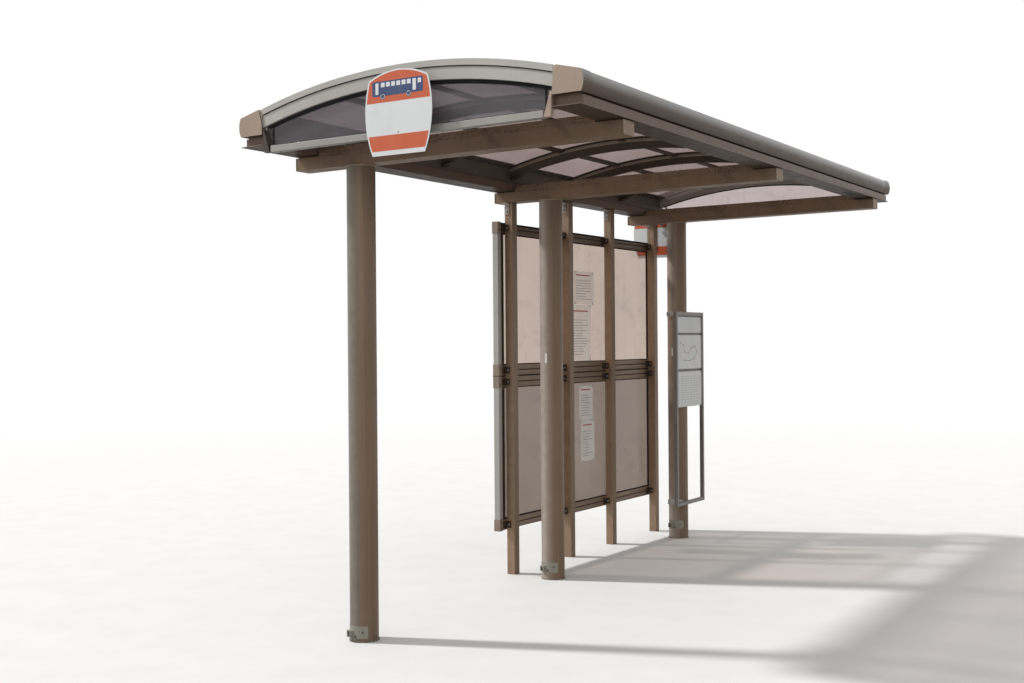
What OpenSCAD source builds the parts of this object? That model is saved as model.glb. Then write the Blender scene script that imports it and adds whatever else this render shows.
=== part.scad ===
// Bus shelter with a cantilever arched roof on three round columns.
// One bay is screened on the road side by smoked panels in a railed frame.
// X runs along the shelter, +Y points to the road, Z is up.
// The origin is the foot of the middle column, on the ground. Sizes are in millimetres.

/* [Columns] */
// Outside diameter of each round column
column_diameter = 152; // [130:1:180]
// Distance between column centres along the shelter
column_pitch = 1965; // [1800:5:2200]
// Clear height from the ground to the underside of the beams, below the centre line of the roof
clear_height = 2500; // [2400:5:2700]

/* [Beams] */
// Width of each cross beam along the shelter
beam_width = 110; // [90:1:130]
// Height of the lower box of each beam
beam_box = 69; // [60:1:80]
// Height of the upper part of each beam, between the gutters
beam_top = 39; // [30:1:50]
// Distance from the sidewalk eave back to the ends of the beams
beam_inset = 10; // [0:1:30]
// Distance the beams stand out past the road eave
beam_stand_out = 6; // [0:1:30]

/* [Roof] */
// Overall width of the roof across its eaves, without the bulge of the fascias
roof_width = 1986; // [1900:2:2080]
// Distance from the column line to the centre line of the roof
roof_shift = 594; // [560:1:620]
// Length of roof past the centre of the near column
overhang_near = 470; // [400:2:540]
// Length of roof past the centre of the far column
overhang_far = 296; // [250:2:360]
// Fall of the roof from the sidewalk eave to the road eave
roof_fall = 15; // [0:1:30]
// Rise of the arch from the inner edge of an eave to the crown
arch_rise = 110; // [90:1:140]
// Width of each intermediate roof rib
rib_width = 60; // [45:1:80]
// Thickness of the smoked roof sheets
sheet_thickness = 4; // [3:0.5:6]

/* [Wall] */
// Distance from the road eave back to the centres of the wall posts
wall_inset = 88.5; // [70:0.5:110]
// Side of the square wall posts
post_side = 60; // [50:1:70]
// Length of the first wall bay
bay_1 = 766; // [700:1:820]
// Length of the second wall bay
bay_2 = 648; // [600:1:700]
// Distance from the far column to the last wall post
last_post = 200; // [170:1:240]
// Height of each wall rail
rail_height = 70; // [60:1:80]
// Height of the underside of the bottom rail
bottom_rail_height = 300; // [200:1:400]
// Height of the underside of the double middle rail
middle_rail_height = 1257; // [1150:1:1350]
// Gap from the top rail up to the underside of the beams
top_rail_gap = 139; // [100:1:250]

/* [Signs and boards] */
// Width of the barrel-shaped sign plates
sign_width = 389; // [340:1:440]
// Height of the barrel-shaped sign plates
sign_height = 399; // [350:1:450]
// Width of the route board frame between tube centres
board_width = 486; // [420:1:540]
// Height of the route board frame
board_height = 1511; // [1350:1:1600]
// Height of the foot of the route board frame above the ground
board_low = 272; // [200:1:350]

/* [Hidden] */
$fn = 96;

bronze = [0.46, 0.40, 0.34];
bronze_light = [0.56, 0.50, 0.43];
steel = [0.62, 0.62, 0.61];
smoked = [0.45, 0.38, 0.38, 0.5];

// Levels of the roof, counted up from the beams
soffit_gap = 4;
soffit_z = clear_height + beam_box + soffit_gap;
fascia_z = soffit_z + 55;
fascia_top_z = soffit_z + 150;
eave_z = soffit_z + 181;
crown_z = eave_z + 118.5;

// Distances out from the centre line of the roof
eave_half = roof_width / 2;
bulge_half = eave_half + 13;
inner_half = eave_half - 153;
cap_inner = eave_half - 141;
gutter_inner = eave_half - 147;
purlin_half = inner_half * 0.52;
eave_road = eave_half - roof_shift;

// Circle of the arch, in the plane across the shelter
arch_radius = (inner_half * inner_half + arch_rise * arch_rise) / (2 * arch_rise) + 30;
arch_centre_z = crown_z - arch_radius;
sheet_drop = 46;
rib_depth = 111;
rib_step = 69;
rib_foot = 24;
fall_angle = asin(roof_fall / roof_width);
sweep_angle = 2 * asin(eave_half / arch_radius);

// Ends of the roof, counted from its own middle
roof_mid = (overhang_far - overhang_near) / 2;
end_x = column_pitch + (overhang_near + overhang_far) / 2;
arch_face_x = end_x - 7;
arch_depth = 70;
sheet_end_x = arch_face_x - arch_depth;
rib_pitch = arch_face_x / 3;

// The wall
wall_offset = eave_road - wall_inset;
rail_y = wall_offset + post_side / 2;
rail_depth = 40;
top_rail_z = clear_height - top_rail_gap - rail_height;
middle_rail_top = middle_rail_height + 2 * rail_height + 9;
post_x = [0, bay_1, bay_1 + bay_2, column_pitch + last_post];
rail_near = post_x[0] - 120;
rail_far = post_x[3] + 79;

// Level at a distance y of a plane that tilts with the roof
function tilted(z, y) = z - (y + roof_shift) * tan(fall_angle);

// Tilts what it holds about the centre line of the soffits, down toward the road
module tilt() {
  translate([0, -roof_shift, soffit_z]) rotate([-fall_angle, 0, 0]) translate([0, roof_shift, -soffit_z]) children();
}

// Tilts the roof and sets its middle off the middle column
module roof() {
  translate([roof_mid, 0, 0]) tilt() children();
}

// Everything above a tilted level, to cut what reaches up to it
module above(z) {
  tilt() translate([-2 * end_x, -roof_shift - eave_half - 50, z]) cube([4 * end_x, roof_width + 100, 200]);
}

// Extrudes a drawing of the Y-Z plane along X
module across(x0, length) {
  translate([x0, 0, 0]) rotate([90, 0, 90]) linear_extrude(length) children();
}

// Places a drawing whose x is the distance out from the centre line of the roof
module eave(side) {
  translate([-roof_shift, 0]) mirror([side < 0 ? 1 : 0, 0]) children();
}

// Turns a section about the axis of the arch; its x is the radius and its y runs along the shelter
module arch_sweep() {
  translate([0, -roof_shift, arch_centre_z]) rotate([0, 90, 0]) rotate([0, 0, 180 - sweep_angle / 2])
    rotate_extrude(angle = sweep_angle, $fn = 720) children();
}

// Keeps what lies between two distances from the centre line
module between(from, to) {
  intersection() {
    children();
    translate([-end_x, -roof_shift + from, soffit_z - 50]) cube([2 * end_x, to - from, crown_z - soffit_z + 200]);
  }
}

// Column of two shells, a narrow groove where they meet on each side
module column(x) {
  color(bronze) translate([x, 0, 0]) difference() {
    cylinder(d = column_diameter, h = clear_height);
    for (turn = [-127, 127])
      rotate([0, 0, turn]) translate([column_diameter / 2 + 0.6, 0, -1]) cylinder(r = 2, h = clear_height + 2, $fn = 24);
    translate([-x, 0, 0]) above(clear_height);
  }
}

// Curved cover plate near the foot, with the outlet of the rain pipe
module cover(x, z) {
  outer = column_diameter / 2 + 2;
  color(bronze_light) translate([x, 0, z]) {
    rotate([0, 0, 126]) rotate_extrude(angle = 108) translate([column_diameter / 2, 0]) square([2, 64]);
    rotate([0, 0, 158]) difference() {
      translate([column_diameter / 2 - 1, -17, 5]) cube([21, 34, 36]);
      translate([column_diameter / 2 + 4, -12, 9]) cube([30, 24, 28]);
      translate([0, 0, 1]) cylinder(d = column_diameter + 0.02, h = 50);
    }
  }
}

// Box with an end plate past a narrow joint, an upper part between the gutters, and packers under them
module beam(x) {
  walk_end = beam_inset - roof_shift - eave_half;
  length = eave_road + beam_stand_out - walk_end;
  top_half = gutter_inner - 8;
  top_z = clear_height + beam_box;
  color(bronze) tilt() difference() {
    union() {
      translate([x - beam_width / 2, walk_end + 10, clear_height]) cube([beam_width, length - 20, beam_box]);
      translate([x - beam_width / 2 + 3, walk_end + 2, clear_height + 3]) cube([beam_width - 6, length - 4, beam_box - 6]);
      for (y = [walk_end, walk_end + length - 4])
        translate([x - beam_width / 2, y, clear_height]) cube([beam_width, 4, beam_box]);
      translate([x - beam_width / 2, -roof_shift - top_half, top_z - 10]) cube([beam_width, 2 * top_half, beam_top + 10]);
      for (side = [-1, 1])
        translate([x - 15, side * (eave_half - 75) - roof_shift - 45, top_z - 10]) cube([30, 90, soffit_gap + 10]);
    }
    for (side = [-1, 1])
      translate([x + side * beam_width / 2 - 1, -roof_shift - top_half - 1, top_z - 1.5])
        cube([2, 2 * top_half + 2, 3]);
  }
}

module gutter(side) {
  color(bronze) roof() {
    across(-end_x + 32, 2 * end_x - 64) eave(side) difference() {
      union() {
        translate([gutter_inner, soffit_z]) square([eave_half - gutter_inner - 5, 47]);
        translate([gutter_inner, soffit_z]) square([eave_half - gutter_inner - 20, fascia_z - soffit_z]);
      }
      translate([gutter_inner + 5, soffit_z + 5]) square([eave_half - gutter_inner - 15, 38]);
    }
    across(-end_x, 2 * end_x) eave(side) translate([gutter_inner, soffit_z]) square([eave_half - gutter_inner, 4]);
    for (x = [-end_x + 32, end_x - 37])
      across(x, 5) eave(side) translate([gutter_inner + 4, soffit_z + 4]) square([eave_half - gutter_inner - 13, 40]);
  }
}

// Outline of the fascia: sloping top, bulged outer side, flat bottom
module fascia_2d(inner, grow) {
  intersection() {
    polygon([
      [inner, fascia_z], [bulge_half + 20, fascia_z], [bulge_half + 20, fascia_top_z - 4],
      [eave_half + grow, fascia_top_z + grow], [eave_half - 120, eave_z + grow], [inner, eave_z + grow]
    ]);
    translate([bulge_half + grow - 106, fascia_z + 49]) circle(r = 106, $fn = 180);
  }
  polygon([
    [inner, fascia_z], [eave_half - 60, fascia_z], [eave_half - 60, fascia_top_z + 15.5 + grow],
    [eave_half - 120, eave_z + grow], [inner, eave_z + grow]
  ]);
}

module fascia(side) {
  color(bronze) roof() across(-end_x + 80, 2 * end_x - 160) eave(side) difference() {
    fascia_2d(inner_half, 0);
    polygon([
      [inner_half + 5, fascia_z + 5], [eave_half - 4, fascia_z + 5], [eave_half + 2, fascia_z + 40],
      [eave_half, fascia_top_z - 14], [eave_half - 118, eave_z - 8], [inner_half + 5, eave_z - 8]
    ]);
  }
}

module caps(end) {
  color(bronze_light) roof() mirror([end > 0 ? 1 : 0, 0, 0]) for (side = [-1, 1]) {
    across(-end_x + 7, 73) eave(side) fascia_2d(cap_inner, 2);
    across(-end_x, 7.5) eave(side) difference() {
      fascia_2d(cap_inner, 2);
      polygon([[cap_inner - 1, fascia_z + 48], [cap_inner + 22, eave_z + 6], [cap_inner - 1, eave_z + 6]]);
    }
  }
}

module gable_arch(end) {
  color(bronze_light) roof() mirror([end > 0 ? 1 : 0, 0, 0]) between(-cap_inner, cap_inner)
    arch_sweep() polygon([
      [arch_radius, -arch_face_x], [arch_radius, -arch_face_x + arch_depth],
      [arch_radius - 70, -arch_face_x + arch_depth], [arch_radius - 104, -arch_face_x + 36],
      [arch_radius - 104, -arch_face_x + 20], [arch_radius - 92, -arch_face_x + 20],
      [arch_radius - 92, -arch_face_x + 4], [arch_radius - 34, -arch_face_x + 4],
      [arch_radius - 34, -arch_face_x + 6], [arch_radius - 31, -arch_face_x + 6],
      [arch_radius - 31, -arch_face_x]
    ]);
}

module gable_frame(end) {
  low = soffit_z - 38;
  color(bronze_light) roof() mirror([end > 0 ? 1 : 0, 0, 0]) {
    across(-arch_face_x, 40) translate([-roof_shift - gutter_inner + 46, soffit_z - 38]) square([2 * gutter_inner - 92, 32]);
    for (side = [-1, 1])
      across(-arch_face_x - 4, 28) eave(side) polygon([
        [gutter_inner - 7, low], [gutter_inner - 41, low], [gutter_inner - 7, fascia_z + 18],
        [cap_inner - 2.3, fascia_z + 18], [cap_inner - 2.3, fascia_z], [gutter_inner, fascia_z],
        [gutter_inner, soffit_z]
      ]);
  }
}

module gable_panel(end) {
  color(smoked) roof() mirror([end > 0 ? 1 : 0, 0, 0])
    across(-arch_face_x + 28, sheet_thickness) intersection() {
      translate([-roof_shift, arch_centre_z]) circle(r = arch_radius - 104, $fn = 720);
      translate([-roof_shift, 0]) polygon([
        [46 - gutter_inner, soffit_z - 6], [gutter_inner - 46, soffit_z - 6],
        [inner_half - 4, fascia_z + 18], [inner_half - 4, crown_z],
        [4 - inner_half, crown_z], [4 - inner_half, fascia_z + 18]
      ]);
    }
}

module ribs() {
  color(bronze) roof() for (k = [-2:2])
    between(-inner_half, inner_half) arch_sweep() translate([0, k * rib_pitch]) polygon([
      [arch_radius - sheet_drop, -rib_width / 2], [arch_radius - sheet_drop, rib_width / 2],
      [arch_radius - rib_step, rib_width / 2], [arch_radius - rib_depth, rib_foot / 2],
      [arch_radius - rib_depth, -rib_foot / 2], [arch_radius - rib_step, -rib_width / 2]
    ]);
}

module purlins() {
  clear_run = rib_pitch - rib_width;
  color(bronze) roof() for (k = [-3:2], u = [-purlin_half, 0, purlin_half]) {
    from = k == -3 ? -sheet_end_x : k * rib_pitch + rib_width / 2;
    to = k == 2 ? sheet_end_x : (k + 1) * rib_pitch - rib_width / 2;
    between(u - 22.5, u + 22.5) arch_sweep() translate([arch_radius - sheet_drop - 13, from]) square([13, to - from]);
  }
}

module sheet(from, to) {
  color(smoked) roof() between(from, to) arch_sweep()
    translate([arch_radius - sheet_drop, -sheet_end_x]) square([sheet_thickness, 2 * sheet_end_x]);
}

module post(i) {
  color(bronze) difference() {
    translate([post_x[i] - post_side / 2, wall_offset - post_side / 2, 0])
      cube([post_side, post_side, i == 0 ? clear_height : soffit_z + 20]);
    above(i == 0 ? clear_height : soffit_z);
  }
}

// Angle that ties the top of a post to what is above it, with two bolts
module post_bracket(x, plane) {
  z = tilted(plane, rail_y - 38);
  difference() {
    union() {
      translate([x - post_side / 2 - 5, rail_y - 38, z - 78]) cube([5, 36, 78]);
      translate([x - post_side / 2 - 35, rail_y - 38, z - 5]) cube([35, 36, 5]);
    }
    above(plane);
  }
  for (drop = [26, 58])
    translate([x - post_side / 2 - 11, rail_y - 20, z - drop]) rotate([0, 90, 0]) cylinder(r = 7, h = 8, $fn = 48);
}

module post_brackets() {
  color(steel) {
    post_bracket(post_x[0], clear_height);
    for (i = [1:3]) post_bracket(post_x[i], soffit_z);
  }
}

// Section of one rail: a box with a shallow groove along the middle of its inner face
module rail_2d(z) {
  difference() {
    translate([rail_y, z]) square([rail_depth, rail_height]);
    translate([rail_y - 1, z + rail_height / 2 - 3]) square([4, 6]);
  }
}

module rail_cap(z, height) {
  translate([rail_near - 3, rail_y - 3, z - 4]) cube([40, rail_depth + 6, height + 8]);
}

module rail_top() {
  color(bronze) {
    across(rail_near, rail_far - rail_near) difference() {
      rail_2d(top_rail_z);
      translate([rail_y - 1, top_rail_z + rail_height - 13]) square([7, 14]);
    }
    rail_cap(top_rail_z, rail_height);
  }
}

module rail_middle() {
  color(bronze) {
    across(rail_near, rail_far - rail_near) {
      rail_2d(middle_rail_height);
      translate([rail_y + 8, middle_rail_height + rail_height]) square([rail_depth - 16, 9]);
      rail_2d(middle_rail_height + rail_height + 9);
    }
    rail_cap(middle_rail_height, 2 * rail_height + 9);
  }
}

module rail_bottom() {
  color(bronze) {
    across(rail_near, rail_far - rail_near) rail_2d(bottom_rail_height);
    rail_cap(bottom_rail_height, rail_height);
  }
}

// Clamp plates that hold the rails to the near side of each post, one bolt each
module rail_clamps() {
  plate = 46;
  levels = [
    top_rail_z + 12, middle_rail_height + 12, middle_rail_height + rail_height + 21, bottom_rail_height + 12
  ];
  color(bronze) for (x = post_x, z = levels) {
    translate([x - post_side / 2 - 5, rail_y - 34, z]) cube([5, 34, plate]);
    translate([x - post_side / 2 - 48, rail_y - 5, z]) cube([43.2, 5, plate]);
  }
}

module stile(x) {
  color(bronze_light) {
    translate([x, rail_y, bottom_rail_height + rail_height + 4])
      cube([40, rail_depth, middle_rail_height - bottom_rail_height - rail_height - 8]);
    translate([x, rail_y, middle_rail_top + 4]) cube([40, rail_depth, top_rail_z - middle_rail_top - 8]);
  }
}

module wall_panel(z0, z1) {
  color(smoked) translate([rail_near + 40, rail_y + 17, z0]) cube([rail_far - rail_near - 80, 5, z1 - z0]);
}

// Barrel outline: arched top, bulged sides, flat foot
module sign_2d() {
  half = sign_width / 2;
  side_radius = 1.29 * sign_height;
  top_radius = 0.93 * sign_width;
  intersection() {
    translate([0, sign_height - top_radius]) circle(r = top_radius, $fn = 180);
    translate([half - side_radius, sign_height * 0.51]) circle(r = side_radius, $fn = 360);
    translate([side_radius - half, sign_height * 0.51]) circle(r = side_radius, $fn = 360);
    translate([-half, 0]) square([sign_width, sign_height]);
  }
}

sign_near_y = -roof_shift - 46;
sign_near_z = clear_height - 60;
sign_far_y = eave_half - roof_shift - 47;
sign_far_z = clear_height - 253;

module sign_plate(x, y, z) {
  color([0.93, 0.93, 0.92]) across(x, 3) translate([y, z]) sign_2d();
}

// Short arms from the near sign to the gable, and a flat bar from the far sign to its eave cap
module sign_arms() {
  color(steel) {
    roof() for (z = [soffit_z - 38, crown_z - 75])
      translate([-end_x - 40, sign_near_y - 20, z]) cube([47, 40, z > soffit_z ? 30 : 32]);
    roof() translate([end_x, sign_far_y - 20, fascia_z + 4]) cube([35, 40, 6]);
    translate([roof_mid + end_x + 35, sign_far_y - 20, sign_far_z + 60]) cube([5, 40, fascia_z - sign_far_z - 60]);
  }
}

board_x = column_pitch + 15;
board_y = -column_diameter / 2 - 16;
board_top = board_low + board_height;
tube_radius = 14;

module board_frame() {
  color(steel) {
    for (side = [-1, 1])
      translate([board_x + side * board_width / 2, board_y, board_low]) cylinder(r = tube_radius, h = board_height);
    for (z = [board_low + tube_radius, board_top - tube_radius])
      translate([board_x - board_width / 2, board_y, z]) rotate([0, 90, 0])
        cylinder(r = tube_radius - 0.1, h = board_width);
  }
}

module board_bands() {
  color(steel) for (z = [board_low + 2, board_top - 26])
    translate([column_pitch, 0, z]) difference() {
      cylinder(d = column_diameter + 3.8, h = 24);
      translate([0, 0, -1]) cylinder(d = column_diameter, h = 26);
    }
}

module board(top, bottom) {
  width = board_width - 2 * tube_radius;
  translate([board_x - width / 2, board_y - 5, board_top - board_height * bottom])
    cube([width, 10, board_height * (bottom - top)]);
}

module boards() {
  color([0.9, 0.9, 0.88]) {
    board(0.026, 0.108);
    board(0.119, 0.296);
    board(0.308, 0.492);
  }
}

column(-column_pitch);  // column_near
column(0);  // column_middle
column(column_pitch);  // column_far
cover(-column_pitch, 21);  // cover_near
cover(0, 50);  // cover_middle
cover(column_pitch, 79);  // cover_far
beam(-column_pitch);  // beam_near
beam(0);  // beam_middle
beam(column_pitch);  // beam_far
gutter(1);  // gutter_road
gutter(-1);  // gutter_walk
fascia(1);  // fascia_road
fascia(-1);  // fascia_walk
caps(-1);  // caps_near
caps(1);  // caps_far
gable_arch(-1);  // gable_arch_near
gable_arch(1);  // gable_arch_far
gable_frame(-1);  // gable_frame_near
gable_frame(1);  // gable_frame_far
gable_panel(-1);  // gable_panel_near
gable_panel(1);  // gable_panel_far
ribs();
purlins();
sheet(purlin_half, inner_half);  // sheet_road
sheet(-purlin_half, purlin_half);  // sheet_middle
sheet(-inner_half, -purlin_half);  // sheet_walk
post(0);  // post_1
post(1);  // post_2
post(2);  // post_3
post(3);  // post_4
post_brackets();
rail_top();
rail_middle();
rail_bottom();
rail_clamps();
stile(rail_near);  // stile_near
stile(rail_far - 40);  // stile_far
wall_panel(middle_rail_top, top_rail_z);  // panel_upper
wall_panel(bottom_rail_height + rail_height, middle_rail_height);  // panel_lower
sign_plate(roof_mid - end_x - 43, sign_near_y, sign_near_z);  // sign_near
sign_plate(roof_mid + end_x + 40, sign_far_y, sign_far_z);  // sign_far
sign_arms();
board_frame();
board_bands();
boards();
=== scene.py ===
"""Finishes, fixings, gaskets and printed faces of a bus shelter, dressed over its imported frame.
X runs along the shelter, +Y points to the road, Z is up. All lengths are in metres."""
import math
from itertools import product

import bmesh
import bpy
from mathutils import Matrix, Vector


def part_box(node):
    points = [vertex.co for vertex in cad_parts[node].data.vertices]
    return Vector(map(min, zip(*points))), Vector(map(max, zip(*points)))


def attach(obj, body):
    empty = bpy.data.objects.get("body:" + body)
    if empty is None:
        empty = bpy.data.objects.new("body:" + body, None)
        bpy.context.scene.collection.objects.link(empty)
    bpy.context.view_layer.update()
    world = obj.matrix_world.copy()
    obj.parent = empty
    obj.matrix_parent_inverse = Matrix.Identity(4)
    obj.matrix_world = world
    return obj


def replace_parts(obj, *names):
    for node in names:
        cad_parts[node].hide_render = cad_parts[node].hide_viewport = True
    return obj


bl_info = {
    "name": "Bus Shelter Dress",
    "version": (1, 0, 0),
    "blender": (4, 5, 0),
    "location": "3D Viewport > Sidebar > Shelter",
    "description": "Finishes, fixings, gaskets and printed faces of a bus shelter",
    "category": "Object",
}

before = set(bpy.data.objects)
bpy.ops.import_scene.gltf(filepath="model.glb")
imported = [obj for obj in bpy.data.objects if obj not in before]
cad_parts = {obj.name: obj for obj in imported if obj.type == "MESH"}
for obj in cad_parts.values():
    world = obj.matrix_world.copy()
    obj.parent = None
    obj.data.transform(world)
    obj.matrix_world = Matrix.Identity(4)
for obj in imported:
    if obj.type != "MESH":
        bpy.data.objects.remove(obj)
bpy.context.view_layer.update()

SIDES = (-1, 1)
ENDS = ("near", "far")
PLACES = ("near", "middle", "far")
RAILS = ("rail_top", "rail_middle", "rail_bottom")
PANELS = ("panel_upper", "panel_lower")
RIBS = range(-2, 3)
NEARWARD, WALKWARD, ROADWARD, DOWNWARD = (-1, 0, 0), (0, -1, 0), (0, 1, 0), (0, 0, -1)


def middle(node):
    low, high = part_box(node)
    return (low + high) / 2


def extent(node):
    low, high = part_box(node)
    return high - low


# Main lines of the frame: read from its nodes where they can be, or else as the part's source has them
COLUMN_X = [middle("column_" + name).x for name in PLACES]
COLUMN_RADIUS = extent("column_near").y / 2
CLEAR_HEIGHT = 2.5
POST_X = [middle(f"post_{i}").x for i in (1, 2, 3, 4)]
POST_SIDE = extent("post_1").x
RAIL_Y = middle("post_1").y + POST_SIDE / 2
# Length of the moulded cover on the near end of each rail
RAIL_COVER = 0.0401
ROOF_MID = (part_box("caps_near")[0].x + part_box("caps_far")[1].x) / 2
END_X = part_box("caps_far")[1].x - ROOF_MID
ARCH_FACE_X = END_X - 0.007
SOFFIT_Z = CLEAR_HEIGHT + 0.073
FASCIA_Z = SOFFIT_Z + 0.055
EAVE_Z = SOFFIT_Z + 0.181
ROOF_Y = -0.594
EAVE_HALF = 0.993
INNER_HALF = 0.84
ARCH_RADIUS = (INNER_HALF ** 2 + 0.11 ** 2) / 0.22 + 0.03
ARCH_CENTRE_Z = EAVE_Z + 0.1185 - ARCH_RADIUS
FALL = math.asin(0.015 / (2 * EAVE_HALF))
RIB_PITCH = ARCH_FACE_X / 3
# The end plates of the gable frames start this far out from the roof's middle line
PLATE_OUT = 0.8035
# Height of each rain outlet above the ground, and the bearing of the outlets round their columns
OUTLET_Z = (0.021, 0.050, 0.079)
OUTLET_TURN = 158
# Bearings of the seams between the two shells of a column
SEAMS = (126, 234)
# How far paper and print stand in front of a face
PAPER_BACK, PAPER_FACE, PRINT_FACE = 0.0002, 0.0009, 0.0012
# Colour of settled dust, and the pale grey of the eaves' painted reflection of the sky
DUST = (0.42, 0.38, 0.33)
PAINTED_SKY_SHEEN = (0.34, 0.37, 0.375)


class ShelterSizes(bpy.types.PropertyGroup):
    edge: bpy.props.FloatProperty(
        name="Edge round", description="Radius of the softened edges of the extrusions",
        default=0.0014, min=0.0002, max=0.004, unit="LENGTH")
    bolt: bpy.props.FloatProperty(
        name="Bolt head", description="Radius of the hexagon bolt heads",
        default=0.0085, min=0.004, max=0.012, unit="LENGTH")
    screw: bpy.props.FloatProperty(
        name="Screw head", description="Radius of the small domed screw heads",
        default=0.0055, min=0.003, max=0.009, unit="LENGTH")
    gasket: bpy.props.FloatProperty(
        name="Gasket", description="Width of the rubber strips that hold the sheets",
        default=0.007, min=0.003, max=0.012, unit="LENGTH")
    cover: bpy.props.FloatProperty(
        name="Rib cover", description="Width of the pressed strips over the roof ribs",
        default=0.05, min=0.03, max=0.07, unit="LENGTH")
    rim: bpy.props.FloatProperty(
        name="Sign rim", description="Width of the white rim left round the sign colours",
        default=0.008, min=0.002, max=0.02, unit="LENGTH")
    rows: bpy.props.IntProperty(
        name="Printed rows", description="Number of printed rows on the largest notice",
        default=14, min=4, max=30)


class ShelterColours(bpy.types.PropertyGroup):
    bronze: bpy.props.FloatVectorProperty(
        name="Bronze", description="Anodised columns, posts, rails and beams",
        subtype="COLOR", size=3, min=0, max=1, default=(0.175, 0.120, 0.080))
    light_bronze: bpy.props.FloatVectorProperty(
        name="Light bronze", description="Gable arches, chords and stiles",
        subtype="COLOR", size=3, min=0, max=1, default=(0.40, 0.385, 0.355))
    cap_bronze: bpy.props.FloatVectorProperty(
        name="Cap bronze", description="Eave caps, foot covers and rail ends",
        subtype="COLOR", size=3, min=0, max=1, default=(0.39, 0.305, 0.240))
    steel: bpy.props.FloatVectorProperty(
        name="Steel", description="Brackets, board frame and fixings",
        subtype="COLOR", size=3, min=0, max=1, default=(0.36, 0.325, 0.305))
    roof_sheet: bpy.props.FloatVectorProperty(
        name="Roof sheet", description="Tint of what shows through the smoked roof sheets",
        subtype="COLOR", size=3, min=0, max=1, default=(0.68, 0.60, 0.585))
    wall_sheet: bpy.props.FloatVectorProperty(
        name="Wall sheet", description="Tint of what shows through the smoked panels of the screen",
        subtype="COLOR", size=3, min=0, max=1, default=(0.845, 0.765, 0.71))
    gable_sheet: bpy.props.FloatVectorProperty(
        name="Gable sheet", description="Tint of what shows through the smoked gable panels",
        subtype="COLOR", size=3, min=0, max=1, default=(0.84, 0.78, 0.775))
    dust: bpy.props.FloatVectorProperty(
        name="Sheet dust", description="Haze and settled dirt on the smoked sheets",
        subtype="COLOR", size=3, min=0, max=1, default=(0.30, 0.265, 0.25))
    orange: bpy.props.FloatVectorProperty(
        name="Sign orange", description="Colour bands of the sign plates",
        subtype="COLOR", size=3, min=0, max=1, default=(0.60, 0.115, 0.045))
    blue: bpy.props.FloatVectorProperty(
        name="Sign blue", description="Pictogram of the sign plates",
        subtype="COLOR", size=3, min=0, max=1, default=(0.035, 0.065, 0.16))
    white: bpy.props.FloatVectorProperty(
        name="White", description="Sign plates and boards",
        subtype="COLOR", size=3, min=0, max=1, default=(0.76, 0.78, 0.79))
    paper: bpy.props.FloatVectorProperty(
        name="Paper", description="Notices and printed sheets",
        subtype="COLOR", size=3, min=0, max=1, default=(0.95, 0.88, 0.79))


def sizes():
    return bpy.context.scene.shelter_sizes


def colours():
    return bpy.context.scene.shelter_colours


class Nodes:
    """Adds nodes to a tree; an input is a socket to link or a plain value to set."""

    def __init__(self, tree):
        self.tree = tree

    def feed(self, node, inputs):
        for key, value in inputs.items():
            if isinstance(value, bpy.types.NodeSocket):
                self.tree.links.new(value, node.inputs[key])
            else:
                node.inputs[key].default_value = value
        return node

    def add(self, kind, inputs=None, **settings):
        node = self.tree.nodes.new(kind)
        for key, value in settings.items():
            setattr(node, key, value)
        return self.feed(node, inputs or {})

    def maths(self, operation, first, *others):
        """One operation, run again for each further value."""
        for other in others:
            first = self.add("ShaderNodeMath", {0: first, 1: other}, operation=operation).outputs[0]
        return first

    def noise(self, point, scale, detail=3.0, roughness=0.5):
        values = {"Vector": point, "Scale": scale, "Detail": detail, "Roughness": roughness}
        return self.add("ShaderNodeTexNoise", values).outputs["Fac"]

    def span(self, value, low, high, out_low=0.0, out_high=1.0):
        ends = {"From Min": low, "From Max": high, "To Min": out_low, "To Max": out_high}
        return self.add("ShaderNodeMapRange", {"Value": value, **ends}).outputs["Result"]

    def stretched(self, point, scale):
        return self.add("ShaderNodeMapping", {"Vector": point, "Scale": scale}).outputs[0]

    def vector(self, x=0.0, y=0.0, z=0.0):
        return self.add("ShaderNodeCombineXYZ", {0: x, 1: y, 2: z}).outputs[0]

    def parts(self, vector):
        return self.add("ShaderNodeSeparateXYZ", {0: vector}).outputs

    def bump(self, height, strength, distance):
        values = {"Height": height, "Strength": strength, "Distance": distance}
        return self.add("ShaderNodeBump", values).outputs[0]

    def mixed(self, share, first, second):
        pair = [c if isinstance(c, bpy.types.NodeSocket) else (*c[:3], 1) for c in (first, second)]
        node = self.add("ShaderNodeMix", data_type="RGBA")
        return self.feed(node, {0: share, 6: pair[0], 7: pair[1]}).outputs[2]

    def seen(self):
        """1 for what the camera sees, straight or through gloss or glass."""
        rays = self.add("ShaderNodeLightPath").outputs
        kinds = [rays[f"Is {kind} Ray"] for kind in ("Camera", "Glossy", "Transmission")]
        return self.maths("MAXIMUM", *kinds)

    def send(self, surface):
        """Sends a surface to the material's output in place of its first shader."""
        output = next(node for node in self.tree.nodes if node.type == "OUTPUT_MATERIAL")
        self.tree.links.new(surface, output.inputs[0])


def shaded(name):
    """A new material with its nodes, its shader and the point on the object."""
    material = bpy.data.materials.new(name)
    material.use_nodes = True
    material.node_tree.nodes.clear()
    n = Nodes(material.node_tree)
    n.add("ShaderNodeOutputMaterial")
    shader = n.add("ShaderNodeBsdfPrincipled")
    n.send(shader.outputs[0])
    return material, n, shader, n.add("ShaderNodeTexCoord").outputs["Object"]


def times(colour, factor):
    return tuple(min(1.0, c * factor) for c in colour)


def levelled(n, place):
    """A point's distance from the roof's middle line, and its height with the fall taken out."""
    across = n.maths("SUBTRACT", place[1], ROOF_Y)
    return across, n.maths("ADD", place[2], n.maths("MULTIPLY", across, math.tan(FALL)))


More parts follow.
